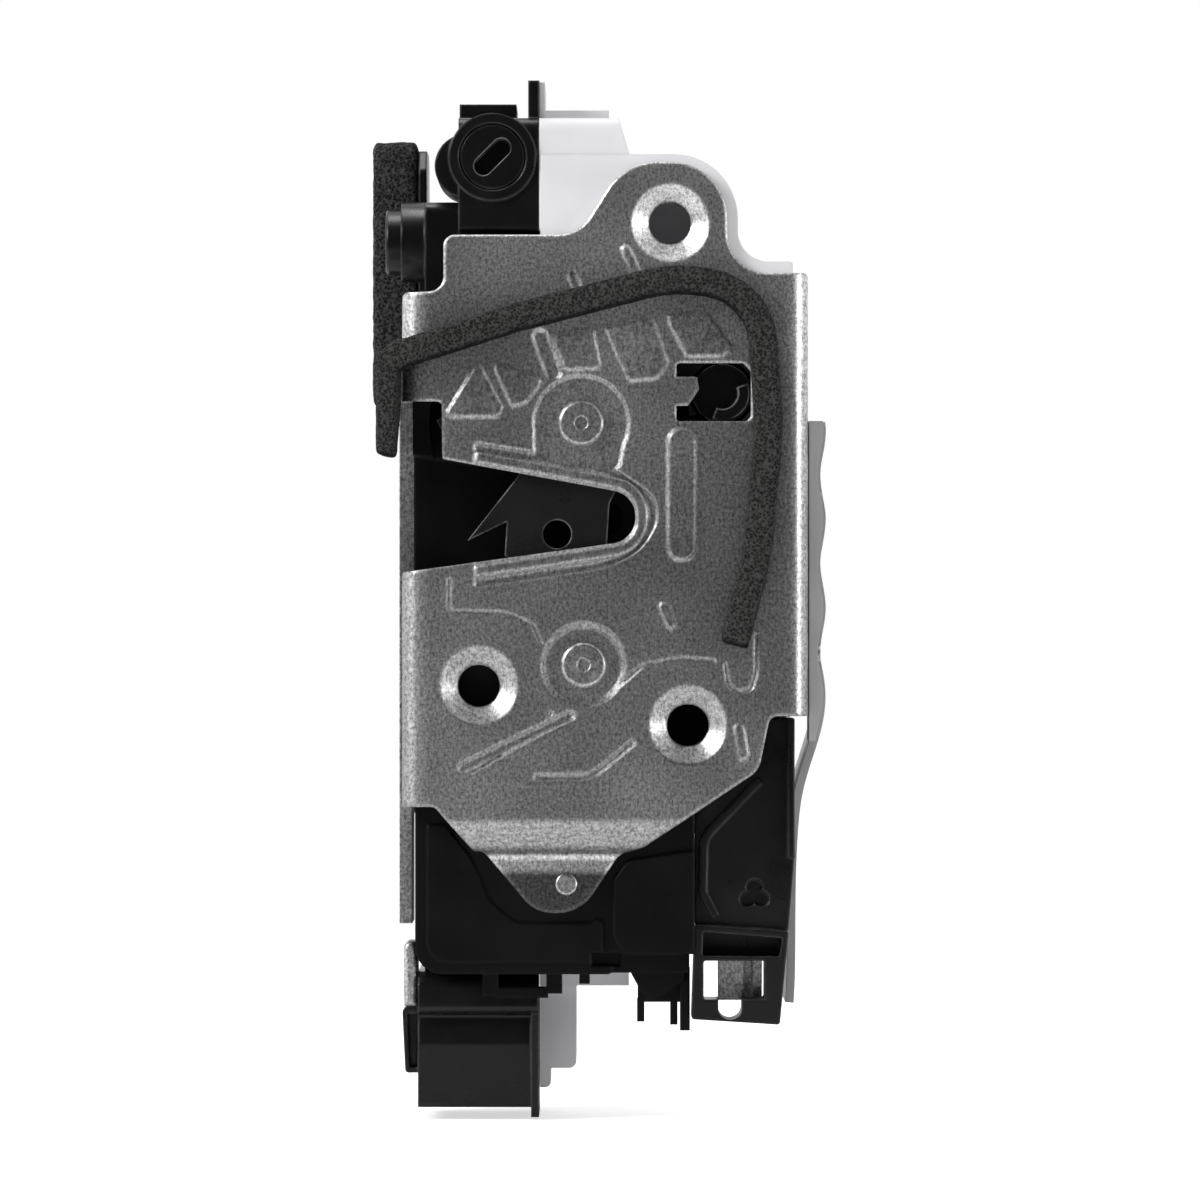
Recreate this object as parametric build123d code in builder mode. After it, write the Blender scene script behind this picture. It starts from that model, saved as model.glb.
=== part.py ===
"""Car door latch with its actuator: a rotary claw and pawl behind a pressed steel face
plate, and a two-shell gear case behind them that holds the lock motor."""
import os
from math import cos, pi, sin, radians

from build123d import *

os.makedirs("parts", exist_ok=True)

# Frame: millimetres, X to the right of the face plate, Z up, Y into the door.
# The origin is the axis of the upper fixing hole on the face plate's front.

# Sheet steel
plate_t = 1.5            # face plate
back_t = 2.0             # back plate
bend_r = 1.6             # inside of each press bend
plate_left = -43.4
plate_right = 22.4
plate_top = -1.9
plate_bottom = -94.6
right_flange_depth = 22.0
left_flange_depth = 12.0
joggle = 3.2             # step back of the bottom tab
bead_h = 0.5             # height of the pressed beads
lip_w = 1.9              # rolled lip round the striker slot
groove_w = 1.3           # groove outside the lip
recess_d = 0.5           # depth of the pressed recesses
line_w = 0.5             # width of the shallow steps in the pressing
line_d = 0.2

# Fixing holes, M8, with a drawn collar behind each dimple
fixings = [(0.0, 0.0), (-31.0, -75.0), (2.9, -81.4)]
thread_r = 3.4
collar_r = 5.6
collar_back = 8.0
dimple_r = 6.5
dimple_d = 1.8
collar_gap = 0.3
sleeve_back = 20.0       # bottom of the closed sleeve behind the upper fixing
sleeve_wall = 1.4

# Claw and pawl, with their rivets
claw_axis = (-14.4, -32.4)
pawl_axis = (-14.0, -71.6)
shoulder_r = 4.0         # rivet shoulder that the claw and pawl turn on
shank_r = 3.0
head_r = 3.7
head_h = 1.4
dent_r = 1.1             # dent that the riveting tool leaves
dent_d = 0.35
tail_head_h = 1.0        # rivet head behind the back plate
tail_head_r = 4.7
running_gap = 0.05       # radial clearance of a turning fit
layer_gap = 0.5          # clearance in front of and behind the claw
claw_t = 6.0
cover_skin = 1.0         # plastic over the steel of claw and pawl
striker_r = 4.5          # striker wire that the claw holds
claw_reach = 26.6        # claw tooth from the claw axis
claw_rim = 24.8          # claw edge behind the pre-latch notch
pawl_release = 14.0      # degrees that the pawl is lifted at rest
spring_layer = 3.0       # depth of the spring recesses
spring_wire = 1.0

# Latch housing
housing_left = -41.7
housing_right = 20.6
floor_t = 1.5
low_front = 5.2          # front of the housing below the face plate
low_left = -41.4
low_right = -9.3
low_bottom = -121.9
block_right = 4.0
block_bottom = -118.6

# Actuator case: two shells that meet at a plane across X
wall = 2.0
parting_x = -21.2
shell_left = -40.0
tower_left = -34.3
cover_right = -6.6
case_depth = 78.0
case_bottom = -121.8
case_top = 17.2
tower_front = 2.0
seat_gap = 0.2           # between parts that lie against each other
screw_r = 1.4
screw_boss_r = 3.2
screw_places = [(25.0, -110.0), (70.0, -92.0), (66.0, -12.0)]

# Emergency lock rotor and key coupling
rotor_axis = (-28.8, 10.8)
rotor_r = 5.35
rotor_ring_r = 7.1
rotor_depth = 12.0
turn_gap = 0.1
key_axis = (24.0, -2.3)  # Y and Z of the coupling's axis
key_r = 5.35
key_neck_r = 6.6
key_neck_end = -44.0
key_end = -46.5
key_square = 5.0

# Lock drive
motor_axis = (-24.0, 58.0)
motor_r = 10.0
motor_flat = 15.6
motor_bottom = -101.0
motor_top = -69.0
motor_shaft_r = 1.0
gear_module = 1.0
wheel_teeth = 24
worm_r = 4.0
worm_root_r = 2.4
worm_low = -64.0
worm_high = -51.0
wheel_z = -57.5
wheel_x = (-25.9, -22.0)
pinion_x = (-30.0, -25.9)
sector_module = 1.2
pinion_teeth = 10
sector_teeth = 30
mesh_gap = 0.2
axle_r = 1.5

# Release levers, on one shaft along X
lever_axis = (31.0, -84.0)
lever_shaft_r = 2.5
lever_t = 2.5
lever_boss_r = 5.5
inner_lever_x = -5.0
outer_lever_x = 0.5
cable_arm_x = 8.0
shoe_right = 15.2        # right side of the shoe that holds the cable end
back_flange_x = 17.0

# Side shield at the right
shield_x = 25.2          # mean place of its outer face
shield_wave = 0.45       # half height of the waves
shield_pitch = 14.4
shield_t = 1.4
shield_rivet_r = 1.6
shield_rivet_places = [(17.5, -45.0), (17.5, -70.0)]

# Seals
foam_w = 4.7
foam_h = 4.0
foam_block_left = -48.9
carrier_t = 1.3

# Connector
collar_left = -41.1
collar_right = -21.0
socket_bottom = -144.0
pin_count = 6
pin_pitch = 2.4
pin_w = 0.7
pin_y = (29.0, 30.6)
pin_tip = -138.0
pin_top = -112.0

# Layers from front to back, worked out from the sizes above
claw_front = plate_t + layer_gap
claw_back = claw_front + claw_t
floor_front = claw_back + layer_gap
spring_floor = floor_front + spring_layer
housing_back = spring_floor + floor_t
back_plate_back = housing_back + back_t
case_front = back_plate_back + seat_gap
wheel_pitch_r = gear_module * wheel_teeth / 2
wheel_y = motor_axis[1] - wheel_pitch_r - worm_r + gear_module - mesh_gap * 2
pinion_pitch_r = sector_module * pinion_teeth / 2
sector_pitch_r = sector_module * sector_teeth / 2
lock_z = wheel_z + pinion_pitch_r + sector_pitch_r + mesh_gap
pin_middle = (collar_left + collar_right) / 2 - 0.4
pin_places = [pin_middle + (index - (pin_count - 1) / 2) * pin_pitch for index in range(pin_count)]


def face(y):
    """Plane across Y, seen from the front: local x is X and local y is Z."""
    return Plane.XZ.offset(-y)


def side(x):
    """Plane across X: local x is Y and local y is Z."""
    return Plane.YZ.offset(x)


def polar(centre, radius, angle):
    """Point at an angle in degrees and a distance from a centre."""
    return (centre[0] + radius * cos(radians(angle)), centre[1] + radius * sin(radians(angle)))


def swing(points, centre, angle):
    """Points given from a centre, turned about it and placed in the frame."""
    c, s = cos(radians(angle)), sin(radians(angle))
    return [(centre[0] + x * c - y * s, centre[1] + x * s + y * c) for x, y in points]


def slab(corners, radii, front, back, inset=0.0, mode=Mode.ADD):
    """Plate across Y between two depths, from rounded corners."""
    with BuildSketch(face(back)) as section:
        with BuildLine():
            FilletPolyline(*corners, radius=radii, close=True)
        make_face()
        if inset:
            offset(amount=-inset, kind=Kind.INTERSECTION)
    extrude(section.sketch, amount=back - front, dir=(0, -1, 0), mode=mode)


def panel(corners, radii, left, right, inset=0.0, mode=Mode.ADD):
    """Plate across X between two places, from rounded corners in Y and Z."""
    with BuildSketch(side(left)) as section:
        with BuildLine():
            FilletPolyline(*corners, radius=radii, close=True)
        make_face()
        if inset:
            offset(amount=-inset, kind=Kind.INTERSECTION)
    extrude(section.sketch, amount=right - left, dir=(1, 0, 0), mode=mode)


def disc(centre, radius, front, back, mode=Mode.ADD):
    """Round bar along Y."""
    with BuildSketch(face(back)) as section:
        with Locations(centre):
            Circle(radius)
    extrude(section.sketch, amount=back - front, dir=(0, -1, 0), mode=mode)


def bar(centre, radius, left, right, mode=Mode.ADD):
    """Round bar along X, centre given as Y and Z."""
    with BuildSketch(side(left)) as section:
        with Locations(centre):
            Circle(radius)
    extrude(section.sketch, amount=right - left, dir=(1, 0, 0), mode=mode)


def post(centre, radius, low, high, mode=Mode.ADD):
    """Round bar along Z, centre given as X and Y."""
    with BuildSketch(Plane.XY.offset(low)) as section:
        with Locations(centre):
            Circle(radius)
    extrude(section.sketch, amount=high - low, dir=(0, 0, 1), mode=mode)


def block(x, y, z, mode=Mode.ADD):
    """Square block from its low and high X, Y and Z."""
    with Locations(((x[0] + x[1]) / 2, (y[0] + y[1]) / 2, (z[0] + z[1]) / 2)):
        Box(x[1] - x[0], y[1] - y[0], z[1] - z[0], mode=mode)


def capsule(start, end, width, front, back, mode=Mode.ADD):
    """Slot with round ends, across Y."""
    middle = ((start[0] + end[0]) / 2, (start[1] + end[1]) / 2)
    with BuildSketch(face(back)) as section:
        SlotCenterPoint(middle, end, width)
    extrude(section.sketch, amount=back - front, dir=(0, -1, 0), mode=mode)


def strip(points, radii, width, front, back, mode=Mode.ADD):
    """Band of one width along a path with rounded turns, across Y."""
    with BuildSketch(face(back)) as section:
        with BuildLine():
            FilletPolyline(*points, radius=radii)
        trace(line_width=width)
    extrude(section.sketch, amount=back - front, dir=(0, -1, 0), mode=mode)


def round_bend(edge_x, inward, low, high):
    """Outside of a press bend along Z, cut from a sharp front corner."""
    outside_r = bend_r + 0.4
    with BuildSketch(Plane.XY.offset(low)) as corner:
        with Locations((edge_x, 0)):
            Rectangle(2 * outside_r, 2 * outside_r)
        with Locations((edge_x + inward * outside_r, outside_r)):
            Circle(outside_r, mode=Mode.SUBTRACT)
            Rectangle(2 * outside_r, 2 * outside_r, align=(Align.CENTER, Align.MIN), mode=Mode.SUBTRACT)
        with Locations((edge_x + 2 * inward * outside_r, 0)):
            Rectangle(2 * outside_r, 4 * outside_r, mode=Mode.SUBTRACT)
    extrude(corner.sketch, amount=high - low, dir=(0, 0, 1), mode=Mode.SUBTRACT)


def pie(centre, radius, start, end, front, back, mode=Mode.ADD):
    """Sector of a disc, across Y."""
    with BuildSketch(face(back)) as section:
        with BuildLine():
            CenterArc(centre, radius, start, end - start)
            Polyline(polar(centre, radius, end), centre, polar(centre, radius, start))
        make_face()
    extrude(section.sketch, amount=back - front, dir=(0, -1, 0), mode=mode)


# Face plate

mouth_top = (-36.9, -38.2)
mouth_low = -56.6
slot_end = -5.6
plate_corners = [
    (-36.7, plate_top), (-14.8, plate_top), (-7.4, 9.9), (9.2, 9.9), (9.3, -8.1), (plate_right, -8.1),
    (plate_right, -79.9), (16.2, -79.9), (14.4, -88.7), (-4.4, -101.3), (-8.3, -102.4),
    (-14.5, -111.9), (-21.8, -111.9), (-30.2, -101.9), (-31.8, -101.9), (-38.2, plate_bottom),
    (plate_left, plate_bottom), (plate_left, mouth_low), (slot_end, -51.4), (slot_end, -44.0),
    mouth_top, (-37.0, -28.9), (plate_left, -28.9), (plate_left, -11.3), (-36.7, -11.0),
]
plate_radii = [
    1.8, 6, 9.5, 9.2, 6.5, 0.8, 0.5, 1.6, 4, 4, 3, 7, 6, 2, 1.2, 1.5,
    0.6, 0.5, 4.2, 4.2, 0.5, 0.8, 0.5, 1.0, 2.5,
]
window_corners = [(1.05, -22.7), (11.8, -22.7), (13.1, -24.0), (13.1, -32.1), (1.05, -32.1)]
tab_corners = [(0.0, -24.9), (4.4, -24.9), (4.7, -27.0), (2.9, -29.6), (0.0, -29.6)]
pads = [
    [(-36.6, -31.4), (-27.8, -31.4), (-27.1, -29.8), (-31.1, -22.3)],
    [(-29.0, -22.4), (-25.6, -29.8), (-23.2, -29.0), (-20.6, -25.5)],
    [(-19.2, -18.2), (-17.0, -23.8), (-11.2, -23.5), (-12.4, -17.2)],
    [(-10.6, -16.9), (-6.6, -25.6), (-2.0, -25.2), (-0.2, -22.6), (-2.9, -15.2)],
    [(-0.8, -14.8), (2.6, -21.6), (8.4, -21.6), (10.2, -20.6), (6.0, -14.6)],
]
lip_path = [(-31.6, -37.9), (-4.5, -42.95), (-4.5, -52.5), (-31.6, -56.5)]
groove_path = [
    (-31.6, -36.3), (-10.2, -39.8), (-2.9, -44.9), (-2.75, -48.1), (-4.9, -52.2), (-10.2, -55.2),
    (-31.6, -58.3),
]
claw_dish_r = 7.7        # pressed dish round the claw rivet, open to the groove
claw_dish_foot = [(-22.0, -32.4), (-6.9, -32.4), (-8.2, -39.6), (-10.6, -40.2), (-22.0, -38.0)]
pawl_dish_r = 6.8
step_lines = [
    [(-35.8, -57.6), (-35.8, -63.0), (-26.6, -63.2), (-22.2, -65.2), (-20.9, -68.2)],
    [(-9.0, -75.6), (-4.6, -71.8), (1.6, -70.6), (7.4, -71.0)],
    [(-32.2, -89.0), (-20.4, -82.3), (-19.2, -79.2)],
    [(9.0, -71.4), (9.4, -74.8), (11.2, -76.2), (13.2, -75.4), (14.0, -72.4), (14.0, -66.6)],
]
sheet_side = [
    (0, 14), (0, -97.4), (joggle, -102.6), (joggle, -114),
    (joggle + plate_t, -114), (joggle + plate_t, -102.2), (plate_t, -97.0), (plate_t, 14),
]
tab_rivet_place = (-16.8, -107.2)

with BuildPart() as latch_plate:
    slab(plate_corners, plate_radii, 0, joggle + plate_t)
    panel(sheet_side, [0, 3, 3, 0, 0, 1.5, 4.5, 0], plate_left - 1, plate_right + 1, mode=Mode.INTERSECT)
    block((plate_right - plate_t, plate_right), (0.0, right_flange_depth), (-79.9, -8.9))
    block((plate_left, plate_left + plate_t), (0.0, left_flange_depth), (-28.9, -12.4))
    block((plate_left, plate_left + plate_t), (0.0, left_flange_depth), (plate_bottom, mouth_low - 0.4))
    round_bend(plate_right, -1, -81.0, -8.0)
    round_bend(plate_left, 1, -28.9, -11.4)
    round_bend(plate_left, 1, plate_bottom - 0.1, mouth_low + 0.1)
    for centre in fixings:
        disc(centre, collar_r, plate_t - 0.5, collar_back)
    slab(window_corners, [0.5, 0.5, 0.5, 1.2, 0.5], -1, plate_t + 0.5, mode=Mode.SUBTRACT)
    slab(tab_corners, 0.4, 0, plate_t)
    for pad in pads:
        slab(pad, 0.6, -bead_h / 2, 0.2)
    capsule((1.9, -35.5), (1.9, -52.4), 4.5, -bead_h, 0.2)
    capsule((-0.9, -62.2), (0.2, -64.9), 1.6, -bead_h / 2, 0.2)
    capsule((11.2, -82.0), (11.9, -86.2), 1.6, -bead_h / 2, 0.2)
    capsule((-7.1, -4.4), (-5.0, -9.2), 1.5, -bead_h / 2, 0.2)
    capsule((-15.8, -8.6), (-15.1, -10.3), 1.4, -1, recess_d, mode=Mode.SUBTRACT)
    disc(claw_axis, claw_dish_r, -1, recess_d, mode=Mode.SUBTRACT)
    slab(claw_dish_foot, [0, 0, 1, 0, 1.5], -1, recess_d, mode=Mode.SUBTRACT)
    strip(groove_path, [8, 3.6, 5, 8, 12], groove_w, -1, recess_d, mode=Mode.SUBTRACT)
    strip(lip_path, [5.2, 5.2], lip_w, -bead_h, 0.2)
    disc(pawl_axis, pawl_dish_r, -1, recess_d / 2, mode=Mode.SUBTRACT)
    disc(pawl_axis, pawl_dish_r - 0.6, -1, recess_d, mode=Mode.SUBTRACT)
    for line in step_lines:
        strip(line, [0.8] * (len(line) - 2), line_w, -1, line_d, mode=Mode.SUBTRACT)
    capsule((-21.0, -18.5), (-18.9, -24.2), 2.4, -1, recess_d, mode=Mode.SUBTRACT)
    capsule((-33.6, -88.2), (-16.2, -79.8), 1.4, -1, recess_d, mode=Mode.SUBTRACT)
    strip([(-22.0, -89.8), (-12.8, -89.8), (-5.8, -84.0)], [6], 0.9, -1, recess_d / 2, mode=Mode.SUBTRACT)
    for centre in (claw_axis, pawl_axis):
        disc(centre, shank_r + running_gap, -1, plate_t + 1, mode=Mode.SUBTRACT)
    disc(tab_rivet_place, 1.2, 0, joggle + plate_t + 1, mode=Mode.SUBTRACT)
    for place in shield_rivet_places:
        bar(place, shield_rivet_r, plate_right - 3, plate_right + 1, mode=Mode.SUBTRACT)
    for centre in fixings:
        disc(centre, thread_r, -1, collar_back + 1, mode=Mode.SUBTRACT)
        with BuildSketch(Plane.YZ.offset(centre[0])) as flare:
            with BuildLine():
                Polyline((-0.1, centre[1]), (-0.1, centre[1] + dimple_r), (dimple_d, centre[1] + thread_r),
                         (dimple_d, centre[1]), close=True)
            make_face()
        revolve(flare.sketch, axis=Axis((centre[0], 0, centre[1]), (0, 1, 0)), mode=Mode.SUBTRACT)
    latch_plate.part.label = "latch_plate"

# Back plate: a channel behind the housing that carries the rivets and the lever shaft

tongue_window_x = (-8.4, 7.0)
tongue_window_z = (-74.8, -64.6)
back_corners = [
    (-42.0, -12.0), (housing_right - 1.6, -12.0), (housing_right - 1.6, -100.0), (6.0, -100.0),
    (-6.0, -95.0), (-42.0, -95.0),
]
left_flange = (-44.1, -42.0)
with BuildPart() as back_plate:
    slab(back_corners, [2, 2, 3, 3, 3, 2], housing_back, back_plate_back)
    block(left_flange, (housing_back, 33.0), (-113.9, -20.0))
    block((left_flange[1] - 0.5, left_flange[1] + 1.0), (housing_back, back_plate_back), (-94.0, -20.0))
    panel([(housing_back, -64.0), (38.0, -74.0), (41.0, -84.0), (38.0, -96.0), (housing_back, -99.0)],
          [0, 5, 5, 5, 0], back_flange_x, back_flange_x + back_t)
    for centre in (claw_axis, pawl_axis):
        disc(centre, shank_r + running_gap, housing_back - 1, back_plate_back + 1, mode=Mode.SUBTRACT)
    for centre in fixings[1:]:
        disc(centre, collar_r - 0.6, housing_back - 1, back_plate_back + 1, mode=Mode.SUBTRACT)
    block(tongue_window_x, (housing_back - 1, back_plate_back + 1), tongue_window_z, mode=Mode.SUBTRACT)
    bar(lever_axis, lever_shaft_r + running_gap, back_flange_x - 1, back_flange_x + back_t + 1,
        mode=Mode.SUBTRACT)
    back_plate.part.label = "back_plate"

# Latch housing: the moulding with the claw and pawl chamber and the striker channel

housing_corners = [
    (-35.8, -3.0), (-21.8, -3.0), (-21.8, -9.4), (housing_right, -9.4), (housing_right, -79.0),
    (15.0, -80.0), (13.2, -88.0), (6.0, -93.4), (block_right, -96.0), (low_left, -96.0),
    (housing_left, -94.0), (housing_left, -13.0), (-35.8, -12.0),
]
low_corners = [
    (low_left, -92.0), (low_left, low_bottom), (low_right, low_bottom), (low_right, block_bottom),
    (block_right, block_bottom), (block_right, -92.0),
]
chamber_gap = 0.7
with BuildPart() as latch_housing:
    slab(housing_corners, [1, 1, 1, 1.5, 1, 1, 2, 1, 0.5, 0.5, 0.5, 1, 1], plate_t, housing_back)
    block((housing_left - 1, housing_right + 1), (0, low_front), (-97.0, -96.0 + 1.5), mode=Mode.SUBTRACT)
    slab(low_corners, [0.5, 4.5, 0.8, 1.0, 3.0, 0.5], low_front, housing_back)
    slab([(low_left + 2, -97.6), (low_left + 2, low_bottom + 2), (low_right - 1.6, low_bottom + 2),
          (low_right - 1.6, -112.0), (-12.6, -113.6), (-25, -113.6), (-29.4, -110.0), (-32.4, -103.0),
          (-36.6, -97.6)], [0.5, 3.2, 0.8, 0.8, 1, 3, 3, 3, 1], low_front - 0.6, low_front + 0.2)
    slab([(-6.8, -103.4), (-9.1, -106.5), (-9.1, -116.0), (-7.0, block_bottom), (block_right, block_bottom),
          (block_right, -101.8)], [2, 3, 3, 2, 0, 0], low_front - 1.2, low_front + 0.5)
    block((low_right - 0.5, 3.2), (low_front + 1.6, housing_back), (low_bottom + 0.2, block_bottom + 1))
    slab([(-6.8, low_bottom + 1), (2.6, low_bottom + 1), (2.6, -123.0), (-0.6, -124.9), (-3.1, -126.2),
          (-4.8, -124.6)],
         [0, 0, 0.5, 1, 0.8, 1], 8.4, 10.8)
    block((-5.2, 2.8), (10.4, housing_back - 0.4), (-126.6, low_bottom + 1))
    block((-5.3, -4.1), (10.4, 12.0), (-129.8, -126.0))
    block((0.1, 1.3), (10.4, 12.0), (-130.3, -126.0))
    block((1.7, 3.3), (9.0, 12.0), (-131.2, low_bottom + 1))
    block((-30.5, -27.9), (9.4, 12.2), (-125.6, low_bottom + 1))
    block((-28.4, -19.8), (9.4, 12.2), (-125.9, -124.1))
    block((-20.1, -17.5), (9.4, 12.2), (-125.2, low_bottom + 1))
    block((-14.7, -13.0), (9.4, 12.2), (-123.6, low_bottom + 1))
    disc(claw_axis, 17.6, plate_t - 1, floor_front, mode=Mode.SUBTRACT)
    pie(claw_axis, 24.6, 142, 223, plate_t - 1, floor_front, mode=Mode.SUBTRACT)
    pie(claw_axis, claw_reach + chamber_gap, 222, 303, plate_t - 1, floor_front, mode=Mode.SUBTRACT)
    pie(claw_axis, claw_rim + chamber_gap, 302, 364, plate_t - 1, floor_front, mode=Mode.SUBTRACT)
    disc(pawl_axis, 9.2, plate_t - 1, floor_front, mode=Mode.SUBTRACT)
    pie(pawl_axis, 21.8, -13, 72, plate_t - 1, floor_front, mode=Mode.SUBTRACT)
    pie(pawl_axis, 15.5, -21, 0, plate_t - 1, floor_front, mode=Mode.SUBTRACT)
    pie(pawl_axis, 16.0, 66, 103, plate_t - 1, floor_front, mode=Mode.SUBTRACT)
    slab([(housing_left - 3, -37.2), (slot_end, -42.6), (slot_end, -52.6), (housing_left - 3, -57.6)],
         [0, 4.4, 4.4, 0], plate_t - 1, spring_floor, mode=Mode.SUBTRACT)
    disc(claw_axis, 8.2, floor_front - 1, spring_floor, mode=Mode.SUBTRACT)
    disc(pawl_axis, 7.2, floor_front - 1, spring_floor, mode=Mode.SUBTRACT)
    for centre in (claw_axis, pawl_axis):
        disc(centre, shank_r + 0.3, floor_front - 1, housing_back + 1, mode=Mode.SUBTRACT)
    for centre in fixings[1:]:
        disc(centre, collar_r + collar_gap, plate_t - 1, housing_back + 1, mode=Mode.SUBTRACT)
    block(tongue_window_x, (floor_front - 1, housing_back + 1), tongue_window_z, mode=Mode.SUBTRACT)
    block((12.2, 19.0), (plate_t - 1, floor_front), (-57.0, -37.0), mode=Mode.SUBTRACT)
    block((9.4, 19.0), (plate_t - 1, floor_front), (-75.6, -61.4), mode=Mode.SUBTRACT)
    block((2.0, 19.0), (plate_t - 1, floor_front), (-21.0, -11.2), mode=Mode.SUBTRACT)
    disc((8.5, -27.5), 5.4, plate_t - 1, floor_front, mode=Mode.SUBTRACT)
    disc((8.5, -27.5), 2.0 + turn_gap, floor_front - 1, spring_floor, mode=Mode.SUBTRACT)
    slab([(-39.8, -60.0), (-24.0, -60.0), (-24.0, -66.0), (-39.8, -66.0)], 1.0,
         plate_t - 1, floor_front, mode=Mode.SUBTRACT)
    slab([(-39.8, -84.0), (-8.0, -84.0), (-8.0, -92.6), (-36.0, -92.6), (-39.8, -90.0)], 1.0,
         plate_t - 1, floor_front, mode=Mode.SUBTRACT)
    disc(tab_rivet_place, 1.0, low_front - 1, low_front + 5, mode=Mode.SUBTRACT)
    block((-12.8, -8.0), (low_front - 2, low_front + 2.5), (-120.6, -118.4), mode=Mode.SUBTRACT)
    latch_housing.part.label = "latch_housing"

# Claw: steel core in a plastic cover, drawn open, with the striker mouth at its left

mouth_place = polar((0, 0), 15.2, 203.3)
mouth_axis = 213.0
lead_angle = 231.9


def claw_outline():
    """Edge of the claw about its own axis, as a closed line."""
    hook_side = mouth_axis - 90
    lead_start = polar(mouth_place, striker_r, lead_angle + 90)
    lead_start = (lead_start[0] + 0.02, lead_start[1])
    mouth_back = polar(mouth_place, striker_r + 0.1, mouth_axis - 180)
    hook_in = polar(mouth_place, striker_r + 0.1, hook_side)
    hook_tip = polar(hook_in, 5.0, mouth_axis)
    hook_out = (-23.4, 0.4)
    rim_start = polar((0, 0), claw_rim, 279)
    rim_middle = polar((0, 0), claw_rim, 260)
    rim_end = polar((0, 0), claw_rim, 240)
    ThreePointArc(lead_start, mouth_back, hook_in)
    Polyline(hook_in, hook_tip, hook_out, (-13.5, 9.5), (-3.0, 9.6), (5.5, 8.0), (9.2, 3.0), (9.0, -4.0),
             (4.6, -13.0), rim_start)
    ThreePointArc(rim_start, rim_middle, rim_end)
    Polyline(rim_end, polar((0, 0), 20.0, 233), polar((0, 0), claw_reach, 225.9), lead_start)


def claw_section(y, inset, bore):
    """Claw profile on a plane, held back from its edge, with its bore and its hole."""
    with BuildSketch(Plane(face(y).from_local_coords((claw_axis[0], claw_axis[1], 0)),
                           x_dir=(1, 0, 0), z_dir=(0, -1, 0))) as section:
        with BuildLine():
            claw_outline()
        make_face()
        if inset:
            offset(amount=-inset, kind=Kind.INTERSECTION)
        Circle(bore, mode=Mode.SUBTRACT)
        with Locations((-3.9, -18.0)):
            Circle(2.3 + inset, mode=Mode.SUBTRACT)
    return section.sketch


with BuildPart() as claw_core:
    extrude(claw_section(claw_back, cover_skin, shoulder_r + running_gap), amount=claw_t - cover_skin,
            dir=(0, -1, 0))
    claw_core.part.label = "claw_core"

with BuildPart() as claw_cover:
    extrude(claw_section(claw_back, 0, shoulder_r + 0.6), amount=claw_t, dir=(0, -1, 0))
    extrude(claw_section(claw_back, cover_skin, shoulder_r), amount=claw_t - cover_skin,
            dir=(0, -1, 0), mode=Mode.SUBTRACT)
    disc(claw_axis, shoulder_r + 0.6, claw_front - 1, claw_back + 1, mode=Mode.SUBTRACT)
    claw_cover.part.label = "claw_cover"

# Pawl: drawn engaged about its own axis and swung out to rest

pawl_corners = [
    (9.6, 18.8), (11.8, 15.5), (12.7, 11.0), (12.0, 5.2), (18.6, 6.5), (19.6, 1.6),
    (7.4, -0.9), (5.5, -6.2), (-5.4, -6.6), (-7.2, 4.5), (6.8, 16.4),
]
pawl_radii = [0.8, 0.5, 2, 1, 1, 1, 1, 3, 4, 4, 0.8]
tongue_corners = swing([(8.8, -1.5), (18.6, -1.5), (18.6, 1.5), (8.8, 1.5)], (0, 0), 12.0)
tongue_end = 19.2
pawl_rest = swing(pawl_corners, pawl_axis, -pawl_release)
with BuildPart() as pawl_core:
    slab(pawl_rest, pawl_radii, claw_front + cover_skin, claw_back)
    slab(swing(tongue_corners, pawl_axis, -pawl_release), 0.4, claw_back - 1, tongue_end)
    disc(pawl_axis, shoulder_r + running_gap, claw_front - 1, claw_back + 1, mode=Mode.SUBTRACT)
    pawl_core.part.label = "pawl_core"

pawl_cover_corners = [
    (11.0, 11.0), (10.6, 4.4), (17.4, 5.2), (18.0, 2.6), (6.6, 0.2), (4.8, -5.2),
    (-4.8, -5.6), (-6.0, 4.0), (4.6, 13.0),
]
with BuildPart() as pawl_cover:
    slab(swing(pawl_cover_corners, pawl_axis, -pawl_release), 0.8, claw_front, claw_front + cover_skin)
    disc(pawl_axis, shoulder_r + 0.6, claw_front - 1, claw_back + 1, mode=Mode.SUBTRACT)
    pawl_cover.part.label = "pawl_cover"


def blade_row(low, high, mode=Mode.ADD):
    """Row of connector blades, or of the slots that they pass through."""
    for index in range(pin_count):
        x = pin_places[index]
        block((x - pin_w / 2, x + pin_w / 2), pin_y, (low, high), mode=mode)


def rivet(centre):
    """Shouldered rivet through face plate, housing and back plate."""
    disc(centre, head_r, recess_d - head_h, recess_d)
    disc(centre, shank_r, recess_d, back_plate_back)
    disc(centre, shoulder_r, plate_t, spring_floor)
    disc(centre, tail_head_r, back_plate_back, back_plate_back + tail_head_h)


def dent(centre):
    """Hollow in the front of a rivet head."""
    disc(centre, dent_r, recess_d - head_h - 1, recess_d - head_h + dent_d, mode=Mode.SUBTRACT)


with BuildPart() as claw_rivet:
    rivet(claw_axis)
    fillet(claw_rivet.edges().filter_by(GeomType.CIRCLE).group_by(Axis.Y)[0], 0.7)
    dent(claw_axis)
    claw_rivet.part.label = "claw_rivet"

with BuildPart() as pawl_rivet:
    rivet(pawl_axis)
    fillet(pawl_rivet.edges().filter_by(GeomType.CIRCLE).group_by(Axis.Y)[0], 0.7)
    dent(pawl_axis)
    pawl_rivet.part.label = "pawl_rivet"

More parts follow.
